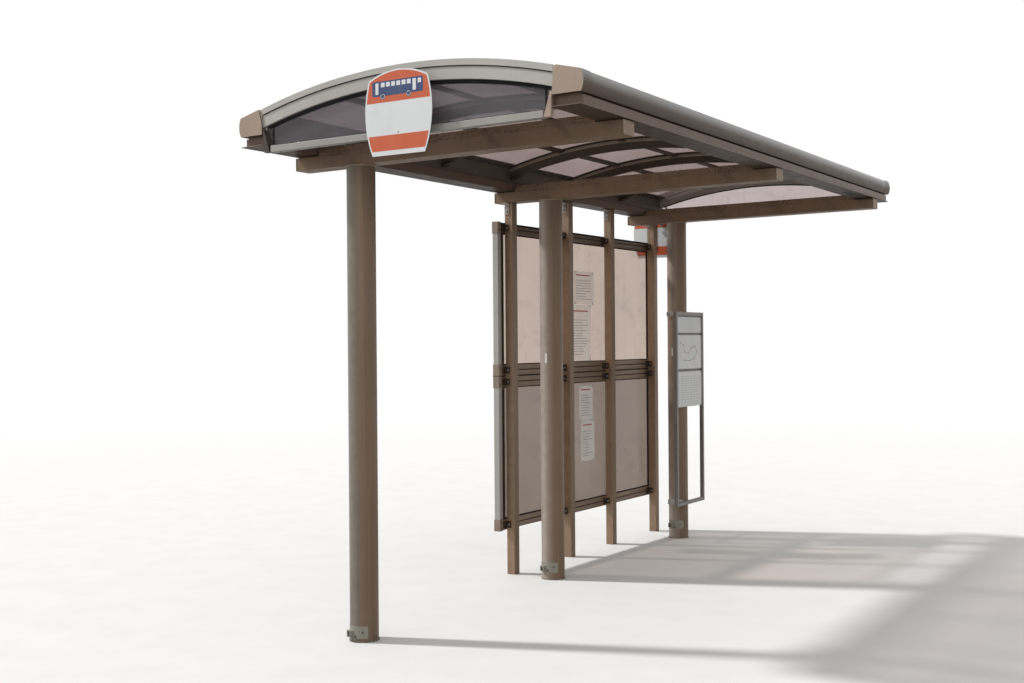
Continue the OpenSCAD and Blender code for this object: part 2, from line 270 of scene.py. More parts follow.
def mildew_share(n, point, place, low, high):
    """Dark spots in a level band of the beams."""
    height = levelled(n, place)[1]
    foot, head = n.span(height, low, low + 0.012), n.span(height, high, high + 0.02, 1.0, 0.0)
    spots = n.span(n.noise(point, 115, 2, 0.7), 0.50, 0.60)
    crowd = n.span(n.noise(point, 5, 3, 0.6), 0.42, 0.58, 0.2, 1.0)
    return n.maths("MULTIPLY", foot, head, spots, crowd, 0.75)


def aluminium(name, colour, along, metal=0.3, rough=0.42, mildew=None, rain=0.0, gloss=0.2, zones=()):
    """Anodised extrusion: grain along one axis, faint patches, dust, rain marks and a clear lacquer.
    Each zone, made from the point and the facing, takes its own colour; many zones are painted light or
    shade. Undersides are dull."""
    material, n, shader, point = shaded(name)
    place = n.parts(point)
    facing = n.parts(n.add("ShaderNodeNewGeometry").outputs["Normal"])
    grain = n.noise(n.stretched(point, [2 if axis == along else 260 for axis in "xyz"]), 1.0, 2)
    patch = n.noise(point, 2.1, 4, 0.55)
    cloud = n.noise(point, 17, 5, 0.6)
    base = n.mixed(n.span(patch, 0.3, 0.7), times(colour, 0.90), times(colour, 1.10))
    base = n.mixed(n.span(grain, 0.3, 0.7, 0.0, 0.5), base, times(colour, 0.86))
    for zone, other in zones:
        second = n.mixed(n.span(cloud, 0.3, 0.7), times(other, 0.88), times(other, 1.10))
        base = n.mixed(zone(n, place, facing), base, second)
    dusty = n.maths("MULTIPLY", n.span(facing[2], 0.2, 0.9, 0.04, 0.30), n.span(cloud, 0.25, 0.85))
    base = n.mixed(dusty, base, DUST)
    if rain:
        drip = n.noise(n.stretched(point, (38, 38, 0.9)), 1.0, 3, 0.6)
        base = n.mixed(n.span(drip, 0.52, 0.78, 0.0, rain), base, times(colour, 0.55))
    if mildew:
        base = n.mixed(mildew_share(n, point, place, *mildew), base, times(colour, 0.25))
    if metal:
        n.feed(shader, {"Metallic": n.span(facing[2], -0.6, 0.0, 0.0, metal)})
    if gloss:
        rising = n.span(facing[2], -0.05, 0.75, gloss * 0.08, gloss)
        settled = n.span(facing[2], 0.75, 0.97, 1.0, 0.2)
        n.feed(shader, {"Coat Weight": n.maths("MULTIPLY", rising, settled), "Coat Roughness": 0.16})
    # The export drops the link to this socket and reads the plain value
    shader.inputs["Specular IOR Level"].default_value = 0.3
    n.feed(shader, {
        "Base Color": base, "Specular IOR Level": n.span(facing[2], -0.5, 0.6, 0.03, 0.4),
        "Roughness": n.span(cloud, 0.3, 0.7, rough - 0.05, rough + 0.12),
        "Normal": n.bump(grain, 0.12, 0.0006)})
    return material


def rib_web_painted_light(n, place, facing):
    """The thin upper web of the ribs, above the step in their depth, painted lighter as the light that falls
    on it.
    """
    across, height = levelled(n, place)
    up = n.maths("SUBTRACT", height, ARCH_CENTRE_Z)
    squares = n.maths("ADD", n.maths("MULTIPLY", across, across), n.maths("MULTIPLY", up, up))
    return n.maths("GREATER_THAN", squares, (ARCH_RADIUS - 0.0695) ** 2)


def plate_road_painted_shade(n, place, facing):
    """The end plates of the gable frames at the road side, painted dark as shade."""
    return n.maths("GREATER_THAN", place[1], ROOF_Y + PLATE_OUT)


def plate_walk(n, place, facing):
    """The end plates of the gable frames at the walk side."""
    return n.maths("LESS_THAN", place[1], ROOF_Y - PLATE_OUT)


def cap_sides(n, place, facing):
    """Faces of the eave caps that do not look along the shelter."""
    return n.maths("LESS_THAN", n.maths("MULTIPLY", facing[0], facing[0]), 0.36)


def fascia_foot_painted_shade(n, place, facing):
    """The lower side of the fascias, painted darker as shade."""
    return n.span(place[2], FASCIA_Z + 0.005, FASCIA_Z + 0.085, 0.95, 0.0)


def fascia_painted_sky_sheen(n, place, facing):
    """The upper round of the fascias, painted pale as a reflection of the sky."""
    return n.span(facing[2], -0.08, 0.6, 0.0, 0.95)


def cap_painted_sky_sheen(n, place, facing):
    """The same painted reflection of the sky, on the upward sides of the eave caps."""
    return n.maths("MULTIPLY", cap_sides(n, place, facing), fascia_painted_sky_sheen(n, place, facing))


def painted_sunlit_side(n, place, facing):
    """Faces toward the road and the near end, painted lighter as sunlight and a sheen of the sky."""
    toward = n.maths("ADD", n.maths("MULTIPLY", facing[0], -0.53), n.maths("MULTIPLY", facing[1], 0.85))
    return n.span(toward, -0.05, 0.85)


def near_faces_painted_light(n, place, facing):
    """Faces toward the near end, painted lighter as the light that falls on them."""
    return n.span(facing[0], -0.9, -0.5, 1.0, 0.0)


def rail_ends(n, place, facing):
    """The moulded covers on the near ends of the rails."""
    return n.maths("LESS_THAN", place[0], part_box("rail_top")[0].x + RAIL_COVER)


# Faces that look down, painted darker as shade.
def underside_painted_shade(n, place, facing):
    return n.maths("LESS_THAN", facing[2], -0.5)


def galvanised(name, colour, metal=0.75, rough=0.42):
    """Zinc coated steel: soft crystal patches and a dull sheen."""
    material, n, shader, point = shaded(name)
    cells = n.add("ShaderNodeTexVoronoi", {"Vector": point, "Scale": 95}).outputs["Color"]
    tone = n.parts(cells)[0]
    grime = n.noise(point, 24, 5, 0.6)
    base = n.mixed(n.span(tone, 0, 1, 0, 0.6), times(colour, 0.86), times(colour, 1.12))
    n.feed(shader, {
        "Base Color": n.mixed(n.span(grime, 0.52, 0.75, 0, 0.5), base, times(colour, 0.5)),
        "Metallic": metal, "Roughness": n.span(tone, 0, 1, rough - 0.06, rough + 0.12),
        "Normal": n.bump(grime, 0.1, 0.0008)})
    return material


def smoked(name, tint, dirty, dust=None, rough=0.16):
    """Smoked plastic sheet: tinted light shows through a share of haze, dirt and wiping marks."""
    material, n, shader, point = shaded(name)
    dust = dust or colours().dust
    haze = n.span(n.noise(point, 1.3, 5, 0.62), 0.3, 0.75)
    marks = n.noise(n.stretched(point, (4, 1.5, 2)), 2.2, 5, 0.65)
    streaks = n.span(n.noise(n.stretched(point, (22, 22, 1.1)), 1.0, 3, 0.6), 0.56, 0.74, 0.0, 0.05)
    wiped = n.span(n.noise(n.stretched(point, (2.4, 2.4, 5.5)), 1.6, 6, 0.7), 0.54, 0.72, 0.0, 0.07)
    base = n.mixed(haze, times(dust, 0.82), times(dust, 1.2))
    n.feed(shader, {
        "Base Color": n.mixed(n.span(marks, 0.58, 0.8, 0.0, 0.3), base, times(dust, 0.7)),
        "IOR": 1.45, "Roughness": n.span(marks, 0.3, 0.8, rough, rough + 0.18),
        "Normal": n.bump(n.noise(point, 3.0, 2), 0.05, 0.004)})
    clear = n.add("ShaderNodeBsdfTransparent", {"Color": (*tint, 1)})
    share = n.maths("ADD", n.span(haze, 0.0, 1.0, dirty - 0.05, dirty + 0.05), streaks, wiped)
    sheet = n.add("ShaderNodeMixShader", {0: share, 1: clear.outputs[0], 2: shader.outputs[0]})
    n.send(sheet.outputs[0])
    return material


def painted(name, colour, rough=0.32, wear=0.16, scale=14.0, glow=0.0):
    """Enamel or print, a little faded and stained; paper glows with the light that it lets in."""
    material, n, shader, point = shaded(name)
    stain = n.noise(n.stretched(point, (1, 1, 0.35)), scale, 5, 0.62)
    base = n.mixed(n.span(stain, 0.5, 0.8, 0.0, wear), colour, (0.42, 0.39, 0.34))
    fade = n.span(n.noise(point, 3.1, 3), 0.4, 0.7, 0.0, 0.12)
    n.feed(shader, {
        "Base Color": n.mixed(fade, base, times(colour, 1.25)),
        "Subsurface Weight": glow, "Subsurface Scale": 0.004, "Subsurface Radius": (1, 1, 1),
        "Roughness": n.span(stain, 0.3, 0.8, rough, rough + 0.18),
        "Normal": n.bump(n.noise(point, 420, 2), 0.05, 0.0002)})
    return material


def rubber(name, colour):
    material, n, shader, point = shaded(name)
    bloom = n.noise(point, 60, 4, 0.6)
    n.feed(shader, {
        "Base Color": n.mixed(n.span(bloom, 0.4, 0.75, 0.0, 0.6), colour, times(colour, 3.0)),
        "Specular IOR Level": 0.1, "Roughness": n.span(bloom, 0.3, 0.7, 0.55, 0.8),
        "Normal": n.bump(bloom, 0.15, 0.0005)})
    return material


def finishes():
    """The maker, the colour and the settings of each finish."""
    c = colours()
    bronze, pale, cap, steel = c.bronze, c.light_bronze, c.cap_bronze, c.steel
    seam = (CLEAR_HEIGHT + 0.058, CLEAR_HEIGHT + 0.112)
    rail = dict(along="x", rain=0.1, zones=[(rail_ends, times(cap, 0.72))])
    column = dict(along="z", rough=0.36, rain=0.3, gloss=0.1)
    # The end plates of the chords at the road side are painted dark as shade.
    plates = [(plate_road_painted_shade, times(cap, 0.21)), (plate_walk, times(cap, 0.95))]
    return {
        # The posts' faces toward the near end are painted lighter as the light that falls on them.
        "bronze_upright": (aluminium, times(bronze, 1.2), dict(
            along="z", rain=0.35, zones=[(near_faces_painted_light, times(bronze, 1.9))])),
        # Columns: the sides toward the road and the near end take painted light, a grey painted reflection of
        # the sky on the near column and painted sunlight on the others, which are also a lighter copy.
        "bronze_column": (aluminium, times(bronze, 1.1), dict(
            zones=[(painted_sunlit_side, (0.215, 0.205, 0.178))], **column)),
        "bronze_column_pale": (aluminium, times(bronze, 1.18), dict(
            metal=0.2, zones=[(painted_sunlit_side, (0.42, 0.36, 0.31))], **column)),
        # The fascias' foot is painted darker as shade, and their upward round pale as a painted reflection of
        # the sky.
        "bronze_eave": (aluminium, times(bronze, 0.62), dict(
            along="x", metal=0.05, rain=0.12, gloss=1.0,
            zones=[(fascia_foot_painted_shade, times(bronze, 0.4)), (fascia_painted_sky_sheen, PAINTED_SKY_SHEEN)])),
        # The gutters' undersides are painted darker as shade.
        "bronze_gutter": (aluminium, (0.162, 0.112, 0.086), dict(
            along="x", metal=0.0, rain=0.1, gloss=0.1, zones=[(underside_painted_shade, times(bronze, 0.32))])),
        "bronze_rail": (aluminium, times(bronze, 1.25), dict(gloss=0.1, **rail)),
        # The top rail is a darker copy of the rail bronze, painted as shade under the eave.
        "bronze_rail_top": (aluminium, times(bronze, 0.80), dict(gloss=0.0, **rail)),
        # The ribs' bronze is painted dark as the shade under the roof; their upper web is painted light.
        "bronze_rib": (aluminium, (0.063, 0.0475, 0.036), dict(
            along="y", metal=0.15, gloss=0.05, zones=[(rib_web_painted_light, (0.250, 0.205, 0.158))])),
        # Purlins: bronze painted dark as the shade under the roof; the flashings, rib shoes and stile liners
        # share this finish.
        "bronze_purlin": (aluminium, times(bronze, 0.34), dict(along="x", gloss=0.05)),
        "bronze_beam": (aluminium, times(bronze, 1.32), dict(along="y", mildew=seam, rain=0.25, gloss=0.1)),
        "light_bronze_cap": (aluminium, cap, dict(along="x", metal=0.15, rough=0.5, rain=0.15)),
        "foot_cover": (aluminium, (0.30, 0.292, 0.245), dict(along="x", metal=0.15, rough=0.5, rain=0.15)),
        # The caps' sides are painted darker as shade, and their upward sides take the painted reflection of
        # the sky.
        "eave_cap": (aluminium, cap, dict(
            along="x", metal=0.1, rough=0.45, rain=0.15, gloss=0.3,
            zones=[(cap_sides, times(bronze, 0.55)), (cap_painted_sky_sheen, PAINTED_SKY_SHEEN)])),
        "light_bronze_arch": (aluminium, times(pale, 1.15), dict(along="y", metal=0.25, rain=0.1)),
        "light_bronze_chord": (aluminium, times(pale, 0.88), dict(along="y", rain=0.1, zones=plates)),
        "light_bronze_stile": (aluminium, times(pale, 1.08), dict(along="z", rain=0.15)),
        "galvanised_steel": (galvanised, steel, {}),
        "bright_steel": (galvanised, (0.60, 0.59, 0.575), dict(metal=0.1, rough=0.34)),
        "board_steel": (galvanised, times(steel, 0.62), dict(metal=0.5)),
        "board_bar": (galvanised, times(steel, 0.3), dict(metal=0.4)),
        "dark_fixing": (galvanised, times(bronze, 0.4), dict(metal=0.6, rough=0.45)),
        "smoked_roof": (smoked, c.roof_sheet, dict(dirty=0.25)),
        "smoked_wall": (smoked, c.wall_sheet, dict(dirty=0.20)),
        "smoked_wall_low": (smoked, times(c.wall_sheet, 0.76), dict(dirty=0.32)),
        # The near gable sheet is a bluer, denser copy of the gable sheet: painted reflection of the sky and
        # painted shade.
        "smoked_gable_near": (smoked, (0.73, 0.725, 0.765), dict(dirty=0.30, dust=(0.265, 0.25, 0.265))),
        "smoked_gable_far": (smoked, c.gable_sheet, dict(dirty=0.16)),
        "sign_white": (painted, c.white, {}),
        "sign_orange": (painted, c.orange, dict(wear=0.08)),
        "sign_blue": (painted, c.blue, dict(wear=0.06)),
        "board_white": (painted, times(c.white, 0.92), dict(rough=0.4, wear=0.22)),
        "paper": (painted, times(c.white, 1.08), dict(rough=0.6, wear=0.2, scale=9.0)),
        "notice_paper": (painted, c.paper, dict(rough=0.6, wear=0.12, scale=9.0, glow=1.0)),
        "printed_grey": (painted, (0.26, 0.25, 0.28), dict(rough=0.6, wear=0.1, scale=30.0)),
        "printed_red": (painted, (0.45, 0.07, 0.05), dict(rough=0.6, wear=0.1, scale=30.0)),
        "black_rubber": (rubber, (0.012, 0.012, 0.013), {}),
        "pale_sealant": (rubber, (0.16, 0.15, 0.13), {}),
    }


def finish(name):
    """The finish of that name, made once."""
    if name in bpy.data.materials:
        return bpy.data.materials[name]
    maker, colour, settings = finishes()[name]
    return maker(name, colour, **settings)


def on_beam(x, y, z):
    """A point of the level drawing, moved by the fall toward the road."""
    dy, dz = y - ROOF_Y, z - SOFFIT_Z
    return Vector((x, ROOF_Y + dy * math.cos(FALL) + dz * math.sin(FALL),
                   SOFFIT_Z - dy * math.sin(FALL) + dz * math.cos(FALL)))


def on_roof(x, y, z):
    """The same for the roof, whose x is counted from its own middle."""
    return on_beam(ROOF_MID + x, y, z)


def under(y, z):
    """The level of a plane that tilts with the roof, at a distance y."""
    return z - (y - ROOF_Y) * math.tan(FALL)


def on_arc(x, u, depth):
    """A point at a distance out from the roof's centre line, that deep under the arch's top."""
    radius = ARCH_RADIUS - depth
    return on_roof(x, ROOF_Y + u, ARCH_CENTRE_Z + math.sqrt(radius * radius - u * u))


def heading(degrees):
    angle = math.radians(degrees)
    return Vector((math.cos(angle), math.sin(angle), 0))


def turned(x, degrees):
    """Places a drawing made along +X on the column at x, turned round it."""
    turn = Matrix.Rotation(math.radians(degrees), 3, "Z")
    return lambda a, b, c: Vector((x, 0, 0)) + turn @ Vector((a, b, c))


def circle(centre, radius, step, start=0, count=None):
    """Points round a centre in a plane, one every few degrees; all the way round without a count."""
    angles = [math.radians(start + step * k) for k in range(count or round(360 / step))]
    return [(centre[0] + radius * math.cos(a), centre[1] + radius * math.sin(a)) for a in angles]


def add_box(bm, corner, opposite, edge=0.0, place=None):
    """A box between two opposite corners, its edges rounded by a bevel."""
    low, high = (Vector([pick(pair) for pair in zip(corner, opposite)]) for pick in (min, max))
    made = bmesh.ops.create_cube(bm, size=1.0)["verts"]
    for vert in made:
        vert.co = Vector([low[i] + (vert.co[i] + 0.5) * (high[i] - low[i]) for i in range(3)])
    if edge:
        edges = list({e for v in made for e in v.link_edges})
        made = bmesh.ops.bevel(bm, geom=edges, offset=edge, segments=2, affect="EDGES")["verts"]
    if place:
        for vert in made:
            vert.co = place(*vert.co)


def add_skin(bm, rings, closed=False):
    """Joins rings of points into a solid, with caps unless the last ring meets the first."""
    rings = [[bm.verts.new(point) for point in ring] for ring in rings]
    faces = [] if closed else [bm.faces.new(rings[0]), bm.faces.new(list(reversed(rings[-1])))]
    for a, b in zip(rings, rings[1:] + (rings[:1] if closed else [])):
        for i in range(len(a)):
            j = (i + 1) % len(a)
            faces.append(bm.faces.new((a[j], a[i], b[i], b[j])))
    bmesh.ops.recalc_face_normals(bm, faces=faces)


def add_prism(bm, outline, low, high, axis="x", place=lambda *point: point):
    """Extrudes an outline along an axis; the outline's two numbers are the other axes in order."""
    at = "xyz".index(axis)
    add_skin(bm, [[place(*pair[:at], along, *pair[at:]) for pair in outline] for along in (low, high)])


def box_section(x0, x1, top, bottom):
    return [(x0, top), (x1, top), (x1, bottom), (x0, bottom)]


def add_band(bm, section, half, steps=72):
    """Sweeps a section, pairs of x and depth under the arch's top, along the arc of the roof."""
    places = [-half + 2 * half * step / steps for step in range(steps + 1)]
    add_skin(bm, [[on_arc(x, u, depth) for x, depth in section] for u in places])


def add_ring(bm, x, outer, inner, low, high, start=0.0, sweep=360.0, steps=96, tilted=False):
    """A ring or a part of one around a column, level or tilted with the beams."""
    whole = sweep >= 360
    rings = []
    for step in range(steps if whole else steps + 1):
        way = heading(start + sweep * step / steps)
        corners = ((inner, low), (outer, low), (outer, high), (inner, high))
        rings.append([(x + r * way.x, r * way.y, under(r * way.y, z) if tilted else z) for r, z in corners])
    add_skin(bm, rings, whole)


def smooth(mesh, angle=32):
    for polygon in mesh.polygons:
        polygon.use_smooth = True
    mesh.set_sharp_from_angle(angle=math.radians(angle))


def coat(mesh, material):
    mesh.materials.clear()
    mesh.materials.append(finish(material))


def piece(name, mesh, material):
    obj = bpy.data.objects.new(name, mesh)
    bpy.context.scene.collection.objects.link(obj)
    coat(mesh, material)
    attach(obj, "root")
    return obj


def filled(name, fill):
    """A mesh made by a function that fills it in."""
    bm = bmesh.new()
    fill(bm)
    mesh = bpy.data.meshes.new(name)
    bm.to_mesh(mesh)
    bm.free()
    return mesh


def made_piece(name, material, fill, angle=32):
    mesh = filled(name, fill)
    smooth(mesh, angle)
    return piece(name, mesh, material)


def boxes_piece(name, material, boxes, edge=0.0, place=None):
    """A piece of boxes, each given by two opposite corners."""
    def fill(bm):
        for corner, opposite in boxes:
            add_box(bm, corner, opposite, edge, place)
    return made_piece(name, material, fill)


def softened(node, material, edge=None):
    """The frame's node with its edges rounded as an extrusion's are."""
    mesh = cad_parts[node].data.copy()
    bm = bmesh.new()
    bm.from_mesh(mesh)
    bmesh.ops.remove_doubles(bm, verts=bm.verts, dist=1e-5)
    bmesh.ops.dissolve_limit(bm, angle_limit=math.radians(0.4), verts=bm.verts, edges=bm.edges)
    bm.to_mesh(mesh)
    bm.free()
    mesh.name = node + "_skin"
    smooth(mesh, 35)
    rough = bpy.data.objects.new(node + "_blank", mesh)
    bpy.context.scene.collection.objects.link(rough)
    bevel = rough.modifiers.new("edges", "BEVEL")
    bevel.width = edge or sizes().edge
    bevel.segments = 2
    bevel.limit_method = "ANGLE"
    bevel.angle_limit = math.radians(35)
    bevel.use_clamp_overlap = True
    bevel.harden_normals = True
    evaluated = rough.evaluated_get(bpy.context.evaluated_depsgraph_get())
    final = bpy.data.meshes.new_from_object(evaluated)
    bpy.data.objects.remove(rough)
    obj = piece(node + "_skin", final, material)
    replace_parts(obj, node)


def painted_node(node, material):
    """Keeps the frame's node and gives it a finish."""
    coat(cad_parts[node].data, material)


def new_tree(name, inputs):
    """An empty Geometry Nodes group with named inputs; returns it, its nodes and its inputs by name."""
    tree = bpy.data.node_groups.new(name, "GeometryNodeTree")
    tree.interface.new_socket("Geometry", in_out="INPUT", socket_type="NodeSocketGeometry")
    for label, kind, value in inputs:
        socket = tree.interface.new_socket(label, in_out="INPUT", socket_type="NodeSocket" + kind)
        if value is not None:
            socket.default_value = value
    tree.interface.new_socket("Geometry", in_out="OUTPUT", socket_type="NodeSocketGeometry")
    n = Nodes(tree)
    return tree, n, n.add("NodeGroupInput").outputs


def joined(n, parts):
    join = n.add("GeometryNodeJoinGeometry")
    for part in parts:
        n.tree.links.new(part, join.inputs[0])
    return join.outputs[0]


def end_tree(n, geometry, material):
    real = n.add("GeometryNodeRealizeInstances", {0: geometry}).outputs[0]
    done = n.add("GeometryNodeSetMaterial", {"Geometry": real, "Material": material}).outputs[0]
    n.add("NodeGroupOutput", {0: done})


def fixing_tree():
    """Heads set on points: a washer and a head of few sides, or a dome, turned to each point's facing."""
    if "Shelter fixings" in bpy.data.node_groups:
        return bpy.data.node_groups["Shelter fixings"]
    tree, n, given = new_tree("Shelter fixings", [
        ("Head Radius", "Float", 0.0085), ("Head Height", "Float", 0.0055), ("Head Sides", "Int", 6),
        ("Washer Radius", "Float", 0.012), ("Washer Height", "Float", 0.0014), ("Finish", "Material", None)])
    radius, height = given["Head Radius"], given["Head Height"]
    head = n.add("GeometryNodeMeshCylinder", {
        "Vertices": given["Head Sides"], "Radius": radius, "Depth": height}).outputs[0]
    crown = n.add("GeometryNodeMeshCone", {
        "Vertices": given["Head Sides"], "Radius Bottom": radius,
        "Radius Top": n.maths("MULTIPLY", radius, 0.72),
        "Depth": n.maths("MULTIPLY", height, 0.28)}).outputs[0]
    washer = n.add("GeometryNodeMeshCylinder", {
        "Vertices": 18, "Radius": given["Washer Radius"], "Depth": given["Washer Height"]}).outputs[0]
    lift = n.vector(z=n.maths("MULTIPLY", height, 0.5))
    head = n.add("GeometryNodeTransform", {0: head, "Translation": lift}).outputs[0]
    crown = n.add("GeometryNodeTransform", {0: crown, "Translation": n.vector(z=height)}).outputs[0]
    facing = n.add("GeometryNodeInputNamedAttribute", {"Name": "facing"}, data_type="FLOAT_VECTOR").outputs[0]
    turn = n.add("FunctionNodeAlignRotationToVector", {"Vector": facing}, axis="Z").outputs[0]
    spin = n.add("FunctionNodeRandomValue", {"Max": 1.0, "Seed": 7}, data_type="FLOAT").outputs[1]
    spun = n.add("FunctionNodeAxisAngleToRotation", {"Axis": (0, 0, 1), "Angle": spin}).outputs[0]
    rotation = n.add("FunctionNodeRotateRotation", {0: turn, 1: spun}, rotation_space="LOCAL").outputs[0]
    placed = n.add("GeometryNodeInstanceOnPoints", {
        "Points": given["Geometry"], "Instance": joined(n, (head, crown, washer)), "Rotation": rotation})
    end_tree(n, placed.outputs[0], given["Finish"])
    return tree


def rows_tree():
    """Rows of printed bars on a sheet, ragged on the right, like lines of a notice."""
    if "Shelter printed rows" in bpy.data.node_groups:
        return bpy.data.node_groups["Shelter printed rows"]
    tree, n, given = new_tree("Shelter printed rows", [
        ("Left", "Vector", (0, 0, 0)), ("Width", "Float", 0.2), ("Height", "Float", 0.2),
        ("Rows", "Int", 10), ("Bar", "Float", 0.004), ("Shortest", "Float", 0.45), ("Seed", "Int", 3),
        ("Finish", "Material", None)])
    step = n.maths("DIVIDE", given["Height"], given["Rows"])
    line = n.add("GeometryNodeMeshLine", {
        "Count": given["Rows"], "Start Location": given["Left"],
        "Offset": n.vector(z=n.maths("MULTIPLY", step, -1.0))}, mode="OFFSET").outputs[0]
    size = n.vector(given["Width"], 0.0003, given["Bar"])
    bar = n.add("GeometryNodeMeshCube", {"Size": size}).outputs[0]
    shift = n.vector(n.maths("MULTIPLY", given["Width"], 0.5))
    bar = n.add("GeometryNodeTransform", {0: bar, "Translation": shift}).outputs[0]
    length = n.add("FunctionNodeRandomValue", {
        "Min": given["Shortest"], "Max": 1.0, "Seed": given["Seed"]}, data_type="FLOAT").outputs[1]
    placed = n.add("GeometryNodeInstanceOnPoints", {
        "Points": line, "Instance": bar, "Scale": n.vector(length, 1.0, 1.0)}).outputs[0]
    end_tree(n, placed, given["Finish"])
    return tree


def grown_mesh(name, tree, values, points=((0, 0, 0),), facings=None):
    """Runs a tree on a blank made of points and returns the plain mesh that it grows."""
    blank = bpy.data.meshes.new(name)
    blank.from_pydata([tuple(p) for p in points], [], [])
    if facings:
        attribute = blank.attributes.new("facing", "FLOAT_VECTOR", "POINT")
        attribute.data.foreach_set("vector", [c for f in facings for c in f])
    obj = bpy.data.objects.new(name + "_blank", blank)
    bpy.context.scene.collection.objects.link(obj)
    modifier = obj.modifiers.new("grow", "NODES")
    modifier.node_group = tree
    sockets = {s.name: s.identifier for s in tree.interface.items_tree if s.in_out == "INPUT"}
    for label, value in values.items():
        modifier[sockets[label]] = value
    obj.update_tag()
    evaluated = obj.evaluated_get(bpy.context.evaluated_depsgraph_get())
    mesh = bpy.data.meshes.new_from_object(evaluated)
    mesh.name = name
    obj.modifiers.clear()
    bpy.data.objects.remove(obj)
    if not mesh.polygons:
        raise RuntimeError(f"{name} grew no faces")
    return mesh


def fixings(name, material, spots, radius, height, sides=6, washer=0.0):
    """One piece of all the heads at the given spots, each a place and the way it faces."""
    mesh = grown_mesh(name, fixing_tree(), {
        "Head Radius": radius, "Head Height": height, "Head Sides": sides,
        "Washer Radius": washer or radius * 1.02, "Washer Height": 0.0014 if washer else 0.0002,
        "Finish": finish(material)}, [s[0] for s in spots], [s[1] for s in spots])
    smooth(mesh, 30)
    piece(name, mesh, material)


class SHELTER_OT_columns(bpy.types.Operator):
    """Columns with their seams, collars, foot covers and small label plates"""
    bl_idname = "shelter.columns"
    bl_label = "Columns"

    def execute(self, context):
        for name, x in zip(PLACES, COLUMN_X):
            self.shell(name, x)
            softened("cover_" + name, "foot_cover", 0.0008)
        made_piece("column_collars", "light_bronze_cap", self.collars)
        made_piece("column_seals", "pale_sealant", self.seals)
        made_piece("outlet_linings", "black_rubber", self.linings)
        made_piece("column_labels", "sign_white", self.labels)
        spots = []
        for x, foot in zip(COLUMN_X, OUTLET_Z):
            for degrees, up in ((-148, 0.033), (-178, 0.009)):
                way = heading(degrees)
                spots.append((Vector((x, 0, foot + up)) + way * (COLUMN_RADIUS + 0.002), way))
        fixings("cover_screws", "dark_fixing", spots, sizes().screw, 0.002, 14)
        return {"FINISHED"}

    def shell(self, name, x):
        """A column with its seams, cut off along the beams."""
        outline = []
        for degrees in range(0, 360, 2):
            point = heading(degrees + 1) * (COLUMN_RADIUS - (0.0016 if degrees in SEAMS else 0.0))
            outline.append((x + point.x, point.y))
        # The middle and far columns take the copy with painted sunlight.
        material = "bronze_column" if name == "near" else "bronze_column_pale"
        obj = made_piece(f"column_{name}_skin", material, lambda bm: add_prism(
            bm, outline, 0.0, CLEAR_HEIGHT, "z", lambda a, b, c: (a, b, under(b, c) if c else c)), 20)
        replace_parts(obj, "column_" + name)

    def collars(self, bm):
        for x in COLUMN_X:
            add_ring(bm, x, COLUMN_RADIUS + 0.004, COLUMN_RADIUS - 0.004,
                     CLEAR_HEIGHT - 0.008, CLEAR_HEIGHT - 0.0002, tilted=True)

    def seals(self, bm):
        for x in COLUMN_X:
            add_ring(bm, x, COLUMN_RADIUS + 0.0035, COLUMN_RADIUS - 0.004, 0.0002, 0.006)

    def linings(self, bm):
        for x, foot in zip(COLUMN_X, OUTLET_Z):
            add_box(bm, (COLUMN_RADIUS + 0.0045, -0.0115, foot + 0.0095),
                    (COLUMN_RADIUS + 0.006, 0.0115, foot + 0.0365), place=turned(x, OUTLET_TURN))

    def labels(self, bm):
        for x, degrees, low in ((COLUMN_X[1], 176, 1.421), (COLUMN_X[2], 168, 1.438)):
            add_ring(bm, x, COLUMN_RADIUS + 0.0012, COLUMN_RADIUS - 0.001, low, low + 0.064, degrees, 10.5, 8)


class SHELTER_OT_beams(bpy.types.Operator):
    """Cross beams with their end plates and screws"""
    bl_idname = "shelter.beams"
    bl_label = "Beams"

    def execute(self, context):
        spots = []
        for name, x in zip(PLACES, COLUMN_X):
            softened("beam_" + name, "bronze_beam")
            low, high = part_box("beam_" + name)
            for side, up in product(SIDES, (0.015, 0.054)):
                for y, way in ((low.y + 0.0006, WALKWARD), (high.y - 0.0006, ROADWARD)):
                    spots.append((on_beam(x + side * 0.040, y, CLEAR_HEIGHT + up), way))
        fixings("beam_end_screws", "galvanised_steel", spots, sizes().screw * 0.8, 0.0014, 12)
        return {"FINISHED"}


class SHELTER_OT_eaves(bpy.types.Operator):
    """Gutters, fascias and end caps with their joint lines, slots and screws"""
    bl_idname = "shelter.eaves"
    bl_label = "Eaves"

    def execute(self, context):
        for side in ("road", "walk"):
            softened("gutter_" + side, "bronze_gutter")
            softened("fascia_" + side, "bronze_eave")
        for end in ENDS:
            softened("caps_" + end, "eave_cap", 0.003)
        boxes_piece("eave_joints", "black_rubber", [
            ((-END_X + 0.034, ROOF_Y + side * 0.862, FASCIA_Z - 0.0006),
             (END_X - 0.034, ROOF_Y + side * 0.971, FASCIA_Z - 0.0001)) for side in SIDES], place=on_roof)
        # The slots are black boxes: painted shade in place of the open slots.
        boxes_piece("gutter_slots", "black_rubber", [
            ((END_X - back - 0.027, ROOF_Y - 0.962, SOFFIT_Z - 0.0008),
             (END_X - back + 0.027, ROOF_Y - 0.905, SOFFIT_Z + 0.0006))
            for back in (0.791, 0.710, 0.640)], place=on_roof)
        spots = [(on_roof(end * (END_X - 0.0016), ROOF_Y + side * 0.904, FASCIA_Z + up), (end, 0, 0))
                 for end, side, up in product(SIDES, SIDES, (0.030, 0.091))]
        fixings("cap_screws", "dark_fixing", spots, sizes().screw * 0.8, 0.0012, 14)
        return {"FINISHED"}


